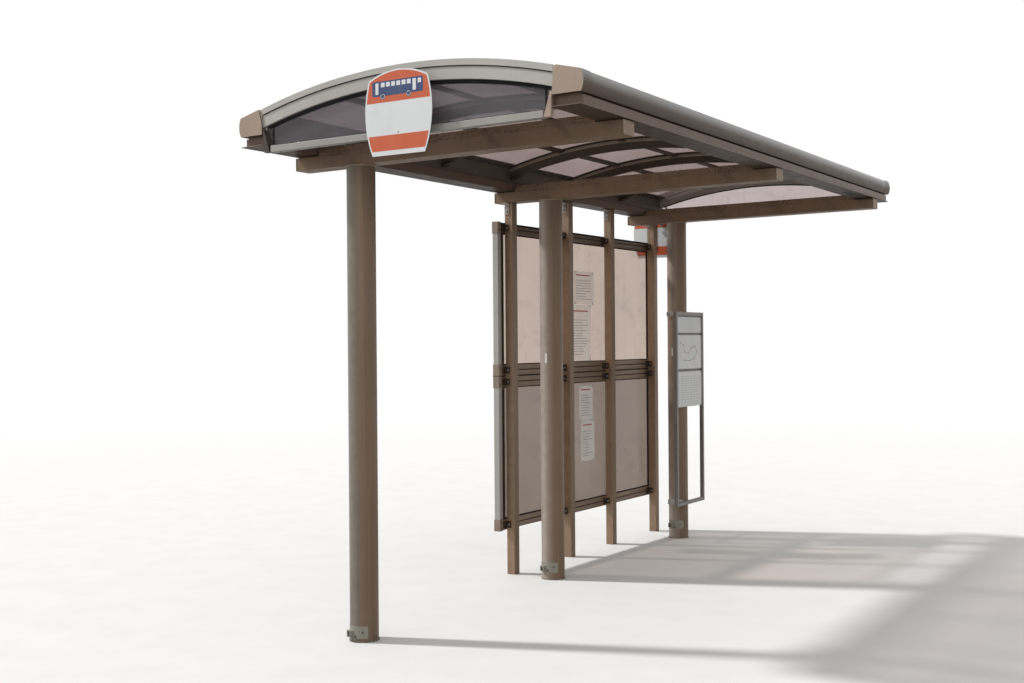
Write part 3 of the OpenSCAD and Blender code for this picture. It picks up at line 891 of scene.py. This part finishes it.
class SHELTER_OT_gables(bpy.types.Operator):
    """Gable arches, chords and smoked panels with their gaskets"""
    bl_idname = "shelter.gables"
    bl_label = "Gables"

    def execute(self, context):
        for end in ENDS:
            softened("gable_arch_" + end, "light_bronze_arch")
            softened("gable_frame_" + end, "light_bronze_chord")
            painted_node("gable_panel_" + end, "smoked_gable_" + end)
        made_piece("gable_gaskets", "black_rubber", self.gaskets)
        spots = [(on_roof(end * (ARCH_FACE_X - 0.02), ROOF_Y + k * 0.25, SOFFIT_Z - 0.0381), DOWNWARD)
                 for end, k in product(SIDES, range(-3, 4))]
        fixings("gable_screws", "dark_fixing", spots, sizes().screw * 0.8, 0.0014, 14)
        return {"FINISHED"}

    def gaskets(self, bm):
        """The line between the bands of each arch, a black band over the recess below them that is painted
        shade with the gasket's edge, and the strips that hold its panel.
        """
        width = sizes().gasket
        for end in SIDES:
            face, panel, back, line = (end * (ARCH_FACE_X + out) for out in (-0.020, -0.028, -0.032, 0.0004))
            proud = face + end * 0.0012
            for section, half in (
                    (box_section(line - end * 0.0024, line, 0.0300, 0.0345), 0.846),
                    # Black over the recess: painted shade, with the gasket's edge at its foot.
                    (box_section(face, proud, 0.0924, 0.1040), 0.836),
                    ([(face, 0.1036), (proud, 0.1036), (panel, 0.107), (panel, 0.1036)], 0.822),
                    ([(back, 0.1036), (back - end * 0.006, 0.1036), (back, 0.104 + width)], 0.822)):
                add_band(bm, section, half)
            for x, other in ((panel, panel + end * 0.004), (back, back - end * 0.004)):
                for side in SIDES:
                    top = on_arc(0, side * 0.8, 0.106).z
                    add_box(bm, (x, ROOF_Y + side * 0.799, SOFFIT_Z - 0.006),
                            (other, ROOF_Y + side * 0.806, top), place=on_roof)
                add_box(bm, (x, ROOF_Y - 0.798, SOFFIT_Z - 0.0062),
                        (other, ROOF_Y + 0.798, SOFFIT_Z - 0.006 + width), place=on_roof)


class SHELTER_OT_roof(bpy.types.Operator):
    """Ribs, purlins and smoked roof sheets with their cover strips and gaskets"""
    bl_idname = "shelter.roof"
    bl_label = "Roof"

    def execute(self, context):
        softened("ribs", "bronze_rib")
        softened("purlins", "bronze_purlin", 0.001)
        for name in ("sheet_road", "sheet_middle", "sheet_walk"):
            painted_node(name, "smoked_roof")
        self.covers()
        made_piece("sheet_gaskets", "black_rubber", self.gaskets)
        made_piece("eave_flashings", "bronze_purlin", self.flashings)
        made_piece("rib_shoes", "bronze_purlin", self.shoes)
        return {"FINISHED"}

    def tree(self):
        """Curved cover strips with a row of heads on each, one strip for each rib."""
        tree, n, given = new_tree("Shelter rib covers", [
            ("Radius", "Float", 3.3), ("Width", "Float", 0.05), ("Thickness", "Float", 0.006),
            ("Half Angle", "Float", 0.25), ("Count", "Int", 5), ("Pitch", "Float", 0.79),
            ("Screw Count", "Int", 7), ("Finish", "Material", None)])
        arc = n.add("GeometryNodeCurveArc", {
            "Resolution": 73, "Radius": given["Radius"],
            "Start Angle": n.maths("SUBTRACT", math.pi / 2, given["Half Angle"]),
            "Sweep Angle": n.maths("MULTIPLY", given["Half Angle"], 2.0)}).outputs[0]
        profile = n.add("GeometryNodeCurvePrimitiveQuadrilateral", {
            0: given["Thickness"], 1: given["Width"]}).outputs[0]
        strip = n.add("GeometryNodeCurveToMesh", {
            "Curve": arc, "Profile Curve": profile, "Fill Caps": True}).outputs[0]
        heads = n.add("GeometryNodeResampleCurve", {
            0: arc, "Count": given["Screw Count"]}, mode="COUNT").outputs[0]
        head = n.add("GeometryNodeMeshUVSphere", {"Segments": 12, "Rings": 6, "Radius": 0.006}).outputs[0]
        heads = n.add("GeometryNodeInstanceOnPoints", {"Points": heads, "Instance": head}).outputs[0]
        upright = n.add("GeometryNodeTransform", {
            0: joined(n, (strip, heads)), "Rotation": (math.pi / 2, 0, math.pi / 2)}).outputs[0]
        span = n.maths("MULTIPLY", n.maths("SUBTRACT", given["Count"], 1.0), given["Pitch"])
        line = n.add("GeometryNodeMeshLine", {
            "Count": given["Count"], "Start Location": n.vector(n.maths("MULTIPLY", span, -0.5)),
            "Offset": n.vector(given["Pitch"])}, mode="OFFSET").outputs[0]
        placed = n.add("GeometryNodeInstanceOnPoints", {"Points": line, "Instance": upright}).outputs[0]
        end_tree(n, placed, given["Finish"])
        return tree

    def covers(self):
        radius = ARCH_RADIUS - 0.038
        mesh = grown_mesh("rib_covers", self.tree(), {
            "Radius": radius, "Width": sizes().cover, "Half Angle": math.asin(0.832 / radius),
            "Count": len(RIBS), "Pitch": RIB_PITCH, "Thickness": 0.006, "Screw Count": 9,
            "Finish": finish("light_bronze_arch")})
        for vert in mesh.vertices:
            x, y, z = vert.co
            vert.co = on_roof(x, ROOF_Y + y, ARCH_CENTRE_Z + z)
        bm = bmesh.new()
        bm.from_mesh(mesh)
        bmesh.ops.recalc_face_normals(bm, faces=bm.faces)
        bm.to_mesh(mesh)
        bm.free()
        smooth(mesh, 30)
        piece("rib_covers", mesh, "light_bronze_arch")

    def gaskets(self, bm):
        for k, side in product(RIBS, SIDES):
            for out, top, bottom, half in ((0.0305, 0.0462, 0.050, 0.836), (0.0255, 0.0385, 0.0418, 0.832)):
                x = k * RIB_PITCH + side * out
                add_band(bm, box_section(x, x + side * 0.004, top, bottom), half)

    def flashings(self, bm):
        for side in SIDES:
            edge = [on_arc(0, side * u, 0.0415) for u in (0.8395, 0.792)]
            outline = [(p.y, p.z) for p in edge] + [(p.y, p.z + 0.004) for p in reversed(edge)]
            add_prism(bm, outline, ROOF_MID - ARCH_FACE_X + 0.072, ROOF_MID + ARCH_FACE_X - 0.072)

    def shoes(self, bm):
        for k, side in product(RIBS, SIDES):
            inner, outer = (on_arc(k * RIB_PITCH, side * u, 0.112) for u in (0.839, 0.763))
            add_prism(bm, [(inner.y, inner.z), (outer.y, outer.z), (outer.y, outer.z - 0.004),
                           (inner.y, inner.z - 0.008)], inner.x - 0.024, inner.x + 0.024)


def border(x0, x1, z0, z1, wide, inset=0.0):
    """The four strips round a rectangle; the upright ones stop short by an inset."""
    return ((x0, x1, z0, z0 + wide), (x0, x1, z1 - wide, z1),
            (x0, x0 + wide, z0 + inset, z1 - inset), (x1 - wide, x1, z0 + inset, z1 - inset))


class SHELTER_OT_wall(bpy.types.Operator):
    """Screen wall: posts, rails, stiles, smoked panels, gaskets and clamps"""
    bl_idname = "shelter.wall"
    bl_label = "Screen wall"

    def execute(self, context):
        for i in (1, 2, 3, 4):
            softened(f"post_{i}", "bronze_upright")
        softened("rail_top", "bronze_rail_top")
        softened("rail_middle", "bronze_rail")
        softened("rail_bottom", "bronze_rail")
        softened("rail_clamps", "dark_fixing", 0.0008)
        for end in ENDS:
            softened("stile_" + end, "light_bronze_stile")
        painted_node("panel_upper", "smoked_wall")
        painted_node("panel_lower", "smoked_wall_low")
        painted_node("post_brackets", "galvanised_steel")
        boxes_piece("panel_gaskets", "black_rubber", self.gaskets(), 0.0008)
        boxes_piece("rail_joint_lines", "black_rubber", self.joint_lines())
        boxes_piece("rail_shadow_lines", "black_rubber", self.shadow_lines())
        boxes_piece("stile_liners", "bronze_purlin", self.liners(), 0.001)
        self.bolts()
        return {"FINISHED"}

    def faces(self, proud):
        """Both panels with a layer on each face, that thick."""
        for low, high in map(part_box, PANELS):
            yield low, high, low.y - proud, low.y - 0.0001
            yield low, high, high.y + 0.0001, high.y + proud

    def gaskets(self):
        width = sizes().gasket
        return [((x0, y0, z0), (x1, y1, z1)) for low, high, y0, y1 in self.faces(0.004)
                for x0, x1, z0, z1 in border(low.x, high.x, low.z, high.z, width, width)]

    def joint_lines(self):
        """The gaps at the moulded rail covers, and the line across the middle one."""
        boxes = [((low.x + RAIL_COVER, low.y + 0.0021, low.z + 0.003),
                  (low.x + RAIL_COVER + 0.001, high.y - 0.0021, high.z - 0.003))
                 for low, high in map(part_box, RAILS)]
        low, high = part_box("rail_middle")
        half = (low.z + high.z) / 2
        boxes.append(((low.x - 0.0003, low.y - 0.0003, half - 0.002),
                      (low.x + 0.0400, high.y + 0.0003, half + 0.002)))
        return boxes

    def grooves(self):
        """The level of the shallow groove in each rail; the clamps sit there too."""
        ups = (("rail_top", 0.039), ("rail_middle", 0.039), ("rail_middle", 0.118), ("rail_bottom", 0.039))
        return [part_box(rail)[0].z + up for rail, up in ups]

    def shadow_lines(self):
        """Black strips of painted shade in the grooves, in the joint of the double rail and in the rebate of
        the top rail.
        """
        low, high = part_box("rail_top")
        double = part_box("rail_middle")[0].z
        lines = [(0.0018, 0.0032, z - 0.0026, z + 0.0026) for z in self.grooves()]
        lines.append((0.0012, 0.0078, double + 0.0742, double + 0.0828))
        lines.append((0.0004, 0.0058, low.z + 0.0612, low.z + 0.0738))
        return [((low.x + RAIL_COVER + 0.0004, RAIL_Y + y0, z0), (high.x - 0.001, RAIL_Y + y1, z1))
                for y0, y1, z0, z1 in lines]

    def liners(self):
        """Dark strips that hold the panels beside the stiles."""
        edges = ((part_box("stile_near")[1].x, 1), (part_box("stile_far")[0].x, -1))
        return [((edge - way * 0.001, y0, low.z + 0.008), (edge + way * 0.046, y1, high.z - 0.008))
                for low, high, y0, y1 in self.faces(0.0075) for edge, way in edges]

    def bolts(self):
        size, screw = sizes().bolt, sizes().screw * 0.8
        tops = [under(RAIL_Y - 0.038, z) for z in (CLEAR_HEIGHT, SOFFIT_Z, SOFFIT_Z, SOFFIT_Z)]
        fixings("bracket_bolts", "galvanised_steel", [
            ((x - POST_SIDE / 2 - 0.0066, RAIL_Y - 0.020, top - drop), NEARWARD)
            for x, top in zip(POST_X, tops) for drop in (0.026, 0.058)], size, 0.0055, 6, 0.013)
        places = list(product(POST_X, self.grooves()))
        fixings("clamp_bolts", "galvanised_steel", [
            ((x - POST_SIDE / 2 - 0.0052, RAIL_Y - 0.020, z), NEARWARD) for x, z in places],
            size * 0.65, 0.0045, 6, 0.0072)
        fixings("rail_face_bolts", "dark_fixing", [
            ((x - POST_SIDE / 2 - back, RAIL_Y - 0.0052, z), WALKWARD)
            for x, z in places for back in (0.014, 0.036)], size * 0.75, 0.0045, 6, 0.0085)
        screws, ends = [], []
        for low, high in map(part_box, RAILS):
            for share in (0.16, 0.38, 0.62, 0.86):
                x = low.x + share * (high.x - low.x)
                screws.append(((x, RAIL_Y + 0.0001, high.z - 0.0265), WALKWARD))
            for z in (low.z + 0.022, high.z - 0.022):
                ends.append(((low.x + 0.020, low.y - 0.0001, z), WALKWARD))
                ends.append(((low.x + 0.020, high.y + 0.0001, z), ROADWARD))
        fixings("rail_screws", "galvanised_steel", screws, screw, 0.002, 12)
        fixings("rail_end_screws", "dark_fixing", ends, screw, 0.002, 12)


class SHELTER_OT_notices(bpy.types.Operator):
    """Paper notices with plain printed rows, taped inside the screen"""
    bl_idname = "shelter.notices"
    bl_label = "Notices"
    sheets = (
        (0.942, 1.239, 1.839, 2.080), (0.895, 1.192, 1.415, 1.831),
        (1.007, 1.217, 0.968, 1.226), (1.026, 1.236, 0.662, 0.966))

    def execute(self, context):
        self.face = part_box("panel_upper")[0].y
        boxes_piece("notice_papers", "notice_paper", [
            ((x0, self.face - PAPER_FACE, z0), (x1, self.face - PAPER_BACK, z1))
            for x0, x1, z0, z1 in self.sheets])
        boxes_piece("notice_tapes", "notice_paper", [
            ((x, self.face - PRINT_FACE, z), (x + 0.024, self.face - PAPER_FACE, z + 0.018))
            for x0, x1, z0, z1 in self.sheets
            for x, z in product((x0 + 0.004, x1 - 0.028), (z0 - 0.008, z1 - 0.012))])
        rows = sizes().rows
        self.printed("notice_print", "printed_grey", 3, lambda width, height: {
            "margin": 0.022, "down": 0.27 * height, "Height": height * 0.66,
            "Rows": max(3, round(rows * height / 0.42)), "Bar": 0.0032, "Shortest": 0.5})
        self.printed("notice_headings", "printed_red", 11, lambda width, height: {
            "margin": 0.03, "down": 0.11 * height, "Height": 0.018, "Rows": 1, "Bar": 0.009, "Shortest": 0.7})
        return {"FINISHED"}

    def printed(self, name, material, seed, layout):
        """One piece of the printed rows of every sheet, laid out by its width and height."""
        def fill(bm):
            for index, (x0, x1, z0, z1) in enumerate(self.sheets):
                values = layout(x1 - x0, z1 - z0)
                margin, down = values.pop("margin"), values.pop("down")
                bm.from_mesh(grown_mesh("rows", rows_tree(), {
                    "Left": (x0 + margin, self.face - 0.0011, z1 - down), "Width": x1 - x0 - 2 * margin,
                    "Seed": seed + index, "Finish": finish(material), **values}))
        piece(name, filled(name, fill), material)


class SHELTER_OT_signs(bpy.types.Operator):
    """Barrel-shaped sign plates with plain colour bands and a simple vehicle pictogram"""
    bl_idname = "shelter.signs"
    bl_label = "Signs"
    # Shares of the height: the radius of the sides and the level of the widest place
    side_round, widest = 1.29, 0.51
    # Radius of the crown as a share of the width
    crown_round = 0.93

    def execute(self, context):
        for end, name in zip(SIDES, ENDS):
            self.low, self.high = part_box("sign_" + name)
            self.width, self.height = self.high.y - self.low.y, self.high.z - self.low.z
            self.centre = (self.low.y + self.high.y) / 2
            outer = self.low.x if end < 0 else self.high.x
            back, skin = outer - end * 0.0030, outer - end * 0.0016
            obj = made_piece(f"sign_{name}_plate", "sign_white", lambda bm: add_prism(
                bm, self.outline(0.0, self.height, 0.0), back, skin), 25)
            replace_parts(obj, "sign_" + name)
            faces = [(skin, end)] if end < 0 else [(skin, 1), (back, -1)]

            def bands(bm):
                for (x, way), (z0, z1) in product(faces, ((0.055, 0.236), (0.625, 0.982))):
                    shape = self.outline(z0 * self.height, z1 * self.height, sizes().rim)
                    add_prism(bm, shape, x, x + way * 0.0004)

            def layers(*parts):
                def fill(bm):
                    for (x, way), (near, far, layer) in product(faces, parts):
                        self.vehicle(bm, x + way * near, x + way * far, way, layer)
                return fill

            made_piece(f"sign_{name}_bands", "sign_orange", bands, 25)
            made_piece(f"sign_{name}_vehicle", "sign_blue",
                       layers((0.0004, 0.0007, "body"), (0.0011, 0.0013, "hubs")), 25)
            made_piece(f"sign_{name}_windows", "sign_white", layers((0.0008, 0.0010, "glass")), 25)
            fixings(f"sign_{name}_rivets", "galvanised_steel", [
                ((x + way * 0.0002, self.centre, self.low.z + 0.262 * self.height), (way, 0, 0))
                for x, way in faces], 0.004, 0.0009, 12)
        painted_node("sign_arms", "galvanised_steel")
        return {"FINISHED"}

    def crown(self, z, inset=0.0):
        """Half width under the round top, at a height above the plate's foot."""
        radius = self.crown_round * self.width
        return math.sqrt(max(0.0, (radius - inset) ** 2 - (z - self.height + radius) ** 2))

    def half(self, z):
        """Half width of the barrel at a height above the plate's foot."""
        side = self.side_round * self.height
        bulge = math.sqrt(side ** 2 - (z - self.widest * self.height) ** 2) - (side - self.width / 2)
        return min(bulge, self.crown(z))

    def outline(self, z0, z1, inset, steps=48):
        """The barrel between two heights, kept clear of its rim by an inset."""
        right = []
        for step in range(steps + 1):
            z = z0 + (z1 - z0) * step / steps
            half = self.half(z) - inset
            if inset and z > self.height * 0.6:
                half = min(half, self.crown(z, inset))
            right.append((max(half, 0.0008), z + self.low.z))
        left = [(-y, z) for y, z in reversed(right)]
        return [(self.centre + y, z) for y, z in right + left]

    def vehicle(self, bm, x0, x1, way, layer):
        """A plain side view in layers: the body with two wheels, the row of windows and doors, the hubs.
        Shares run along the vehicle from the viewer's left."""
        base = self.low.z + 0.70 * self.height
        length, tall = 0.76 * self.width, 0.176 * self.height
        centre = self.centre - way * 0.008 * self.width
        x0, x1 = sorted((x0, x1))

        def rect(s0, s1, t0, t1, corner=0.002):
            y0, y1 = sorted(centre + way * (s - 0.5) * length for s in (s0, s1))
            z0, z1 = base + t0 * tall + corner, base + t1 * tall - corner
            corners = (y1 - corner, z1), (y0 + corner, z1), (y0 + corner, z0), (y1 - corner, z0)
            points = [p for i, c in enumerate(corners) for p in circle(c, corner, 22.5, 90 * i, 5)]
            add_prism(bm, points, x0, x1)

        def wheels(radius):
            for share in (0.21, 0.72):
                y = centre + way * (share - 0.5) * length
                add_prism(bm, circle((y, base - 0.001), radius, 10), x0, x1)

        if layer == "body":
            rect(0.0, 1.0, 0.0, 1.0, 0.008)
            wheels(0.0145)
        elif layer == "hubs":
            wheels(0.0095)
        else:
            for k in range(6):
                rect(0.175 + 0.103 * k, 0.25 + 0.103 * k, 0.60, 0.90)
            rect(0.065, 0.125, 0.14, 0.90)
            rect(0.80, 0.865, 0.14, 0.90)
            rect(0.90, 0.965, 0.58, 0.88)
            wheels(0.0118)


class SHELTER_OT_route_board(bpy.types.Operator):
    """Route board on the far column: frame, board faces, a line diagram and a ruled table"""
    bl_idname = "shelter.route_board"
    bl_label = "Route board"
    # Shares of the frame's height, from its top, where each board starts and ends
    boards = ((0.026, 0.108), (0.119, 0.296), (0.308, 0.492))
    # Stops of the line diagram, as shares of its field
    stops = ((0.12, 0.82), (0.25, 0.72), (0.30, 0.5), (0.47, 0.46), (0.56, 0.64), (0.74, 0.7), (0.84, 0.48),
             (0.72, 0.28), (0.5, 0.2), (0.28, 0.22))

    def execute(self, context):
        self.tube()
        painted_node("board_bands", "bright_steel")
        softened("boards", "board_white", 0.0012)
        low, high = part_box("boards")
        face = low.y
        x0, x1 = low.x + 0.014, high.x - 0.014
        boxes_piece("board_papers", "paper", [
            ((x0, face - PAPER_FACE, self.level(lower)), (x1, face - PAPER_BACK, self.level(upper)))
            for upper, lower in ((0.124, 0.291), (0.313, 0.487))])
        boxes_piece("board_bars", "board_bar", [
            ((low.x + 0.001, face + 0.002, self.level(lower)),
             (high.x - 0.001, high.y - 0.002, self.level(upper)))
            for upper, lower in ((0.012, 0.026), (0.108, 0.119), (0.296, 0.308))])
        z0, z1 = self.level(0.284), self.level(0.132)
        places = [(x0 + a * (x1 - x0), z0 + b * (z1 - z0)) for a, b in self.stops]

        def rules(bm):
            self.table(bm, x0 + 0.02, x1 - 0.02, face)
            self.diagram(bm, places, face)

        def dots(bm):
            for place in places:
                add_prism(bm, circle(place, 0.006, 20), face - PRINT_FACE, face - 0.0014, "y")

        made_piece("board_rules", "printed_grey", rules)
        made_piece("board_stops", "printed_red", dots)
        boxes_piece("board_trims", "board_white", [
            ((a0, face - 0.0022, b0), (a1, face - 0.0002, b1)) for upper, lower in self.boards
            for a0, a1, b0, b1 in border(low.x, high.x, self.level(lower), self.level(upper), 0.006)], 0.0005)
        fixings("board_screws", "galvanised_steel", [
            ((x, face - 0.0021, self.level(share)), WALKWARD) for upper, lower in self.boards
            for share, x in product((upper + 0.006, lower - 0.006), (low.x + 0.010, high.x - 0.010))],
            0.0035, 0.0014, 12)
        self.lugs()
        return {"FINISHED"}

    def level(self, share):
        """A height given as a share of the frame's, from its top."""
        low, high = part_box("board_frame")
        return high.z - share * (high.z - low.z)

    def tube(self):
        """The frame in square tube."""
        low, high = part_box("board_frame")
        side = high.y - low.y
        boxes = [((x, low.y, low.z), (x + side, high.y, high.z)) for x in (low.x, high.x - side)]
        boxes += [((low.x + side, low.y + 0.0005, z), (high.x - side, high.y - 0.0005, z + side))
                  for z in (low.z, high.z - side)]
        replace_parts(boxes_piece("board_tube", "board_steel", boxes, 0.002), "board_frame")

    def table(self, bm, left, right, face, rows=12, columns=7):
        upper, lower = self.level(0.335), self.level(0.478)
        for k in range(rows + 1):
            z = lower + (upper - lower) * k / rows
            add_box(bm, (left, face - PRINT_FACE, z - 0.0006), (right, face - PAPER_FACE, z + 0.0006))
        for k in range(columns + 1):
            x = left + (right - left) * k / columns
            add_box(bm, (x - 0.0006, face - PRINT_FACE, lower), (x + 0.0006, face - PAPER_FACE, upper))

    def diagram(self, bm, places, face):
        for (ax, az), (bx, bz) in zip(places, places[1:]):
            way = Vector((bx - ax, bz - az)).normalized() * 0.0016
            outline = [(ax - way.y, az + way.x), (ax + way.y, az - way.x),
                       (bx + way.y, bz - way.x), (bx - way.y, bz + way.x)]
            add_prism(bm, outline, face - PRINT_FACE, face - PAPER_FACE, "y")

    def lugs(self):
        """Rings round the bands, with an eye at the side and bolted lugs."""
        low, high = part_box("board_bands")
        levels = (low.z + 0.012, high.z - 0.012)
        spots = []
        for z, side in product(levels, SIDES):
            x = COLUMN_X[2] + side * (COLUMN_RADIUS + 0.011)
            spots += [((x, -0.005, z), WALKWARD), ((x, 0.005, z), ROADWARD)]

        def fill(bm):
            for z in levels:
                for side, gap in product(SIDES, SIDES):
                    x = COLUMN_X[2] + side * (COLUMN_RADIUS + 0.001)
                    add_box(bm, (x, gap * 0.0015, z - 0.014),
                            (x + side * 0.024, gap * 0.005, z + 0.014), 0.0008)
                add_ring(bm, COLUMN_X[2], COLUMN_RADIUS + 0.0055, COLUMN_RADIUS + 0.0005,
                         z - 0.019, z + 0.019, 152, 80, 24)
                add_box(bm, (COLUMN_RADIUS, -0.004, z - 0.019), (COLUMN_RADIUS + 0.024, 0.006, z + 0.019),
                        0.002, turned(COLUMN_X[2], 150))

        made_piece("band_lugs", "bright_steel", fill)
        fixings("band_bolts", "bright_steel", spots, 0.006, 0.005, 6, 0.0078)


class SHELTER_OT_stage(bpy.types.Operator):
    """Pale floor, plain soft light, white surround and the camera"""
    bl_idname = "shelter.stage"
    bl_label = "Stage"
    # The photograph's view, solved from the columns, beams and posts
    eye, lens = (-7.0988, -4.1793, 1.5698), 43.848
    yaw, pitch, roll = 32.3023, -0.0448, -0.4408

    def execute(self, context):
        self.floor()
        self.light()
        self.camera()
        return {"FINISHED"}

    def floor(self):
        """A wide floor that fades to white; to the light it is a plain mid grey."""
        mesh = bpy.data.meshes.new("floor")
        mesh.from_pydata([(-90, -90, 0), (90, -90, 0), (90, 90, 0), (-90, 90, 0)], [], [(0, 1, 2, 3)])
        obj = bpy.data.objects.new("floor", mesh)
        bpy.context.scene.collection.objects.link(obj)
        material, n, shader, point = shaded("pale_floor")
        grain = n.span(n.noise(point, 3.0, 5, 0.6), 0.3, 0.7)
        tone = n.mixed(grain, (0.74, 0.73, 0.71), (0.78, 0.77, 0.75))
        n.feed(shader, {"Base Color": tone, "Roughness": 0.85})
        plain = n.add("ShaderNodeBsdfDiffuse", {"Color": (0.30, 0.285, 0.265, 1)})
        distance = n.add("ShaderNodeVectorMath", {0: point}, operation="LENGTH").outputs["Value"]
        seen = n.seen()
        fade = n.maths("MULTIPLY", n.span(distance, 5.0, 16.0), seen)
        glow = n.add("ShaderNodeEmission", {"Color": (1, 1, 1, 1), "Strength": 1.0})
        near = n.add("ShaderNodeMixShader", {0: seen, 1: plain.outputs[0], 2: shader.outputs[0]})
        n.send(n.add("ShaderNodeMixShader", {0: fade, 1: near.outputs[0], 2: glow.outputs[0]}).outputs[0])
        mesh.materials.append(material)

    def light(self):
        world = bpy.data.worlds.new("studio")
        bpy.context.scene.world = world
        world.use_nodes = True
        world.node_tree.nodes.clear()
        n = Nodes(world.node_tree)
        strength = n.span(n.seen(), 0.0, 1.0, 0.62, 1.0)
        back = n.add("ShaderNodeBackground", {"Color": (1, 1, 1, 1), "Strength": strength})
        n.add("ShaderNodeOutputWorld", {0: back.outputs[0]})
        for name, way, energy, angle in (
                ("key", (-0.26, 0.67, 0.69), 2.7, 4), ("fill", (-0.80, -0.50, 0.28), 0.4, 40)):
            lamp = bpy.data.lights.new(name, "SUN")
            lamp.energy = energy
            lamp.angle = math.radians(angle)
            obj = bpy.data.objects.new(name, lamp)
            obj.rotation_euler = Vector(way).to_track_quat("Z", "Y").to_euler()
            bpy.context.scene.collection.objects.link(obj)

    def camera(self):
        data = bpy.data.cameras.new("camera")
        data.lens = self.lens
        data.sensor_width = 36.0
        data.clip_end = 400
        obj = bpy.data.objects.new("camera", data)
        yaw, pitch, roll = (math.radians(a) for a in (self.yaw, self.pitch, self.roll))
        ahead = Vector((math.cos(yaw) * math.cos(pitch), math.sin(yaw) * math.cos(pitch), math.sin(pitch)))
        right = Vector((math.sin(yaw), -math.cos(yaw), 0))
        up = right.cross(ahead)
        r = math.cos(roll) * right + math.sin(roll) * up
        u = -math.sin(roll) * right + math.cos(roll) * up
        turn = Matrix((r, u, -ahead)).transposed().to_4x4()
        obj.matrix_world = Matrix.Translation(self.eye) @ turn
        bpy.context.scene.collection.objects.link(obj)
        bpy.context.scene.camera = obj


class SHELTER_PT_panel(bpy.types.Panel):
    """Lists the steps that dress the shelter, with its sizes and colours"""
    bl_idname = "SHELTER_PT_panel"
    bl_label = "Bus shelter"
    bl_space_type = "VIEW_3D"
    bl_region_type = "UI"
    bl_category = "Shelter"

    def draw(self, context):
        for group in (context.scene.shelter_sizes, context.scene.shelter_colours):
            box = self.layout.box()
            for name in group.__annotations__:
                box.prop(group, name)
        for step in STEPS:
            self.layout.operator(step.bl_idname)


STEPS = (
    SHELTER_OT_columns, SHELTER_OT_beams, SHELTER_OT_eaves, SHELTER_OT_gables, SHELTER_OT_roof,
    SHELTER_OT_wall, SHELTER_OT_notices, SHELTER_OT_signs, SHELTER_OT_route_board, SHELTER_OT_stage)
CLASSES = (ShelterSizes, ShelterColours, *STEPS, SHELTER_PT_panel)


def register():
    for item in CLASSES:
        bpy.utils.register_class(item)
    bpy.types.Scene.shelter_sizes = bpy.props.PointerProperty(type=ShelterSizes)
    bpy.types.Scene.shelter_colours = bpy.props.PointerProperty(type=ShelterColours)


def unregister():
    del bpy.types.Scene.shelter_colours
    del bpy.types.Scene.shelter_sizes
    for item in reversed(CLASSES):
        bpy.utils.unregister_class(item)


def main():
    register()
    bpy.context.scene.view_settings.view_transform = "Standard"
    for step in STEPS:
        getattr(bpy.ops.shelter, step.bl_idname.split(".")[1])()


if __name__ == "__main__":
    main()
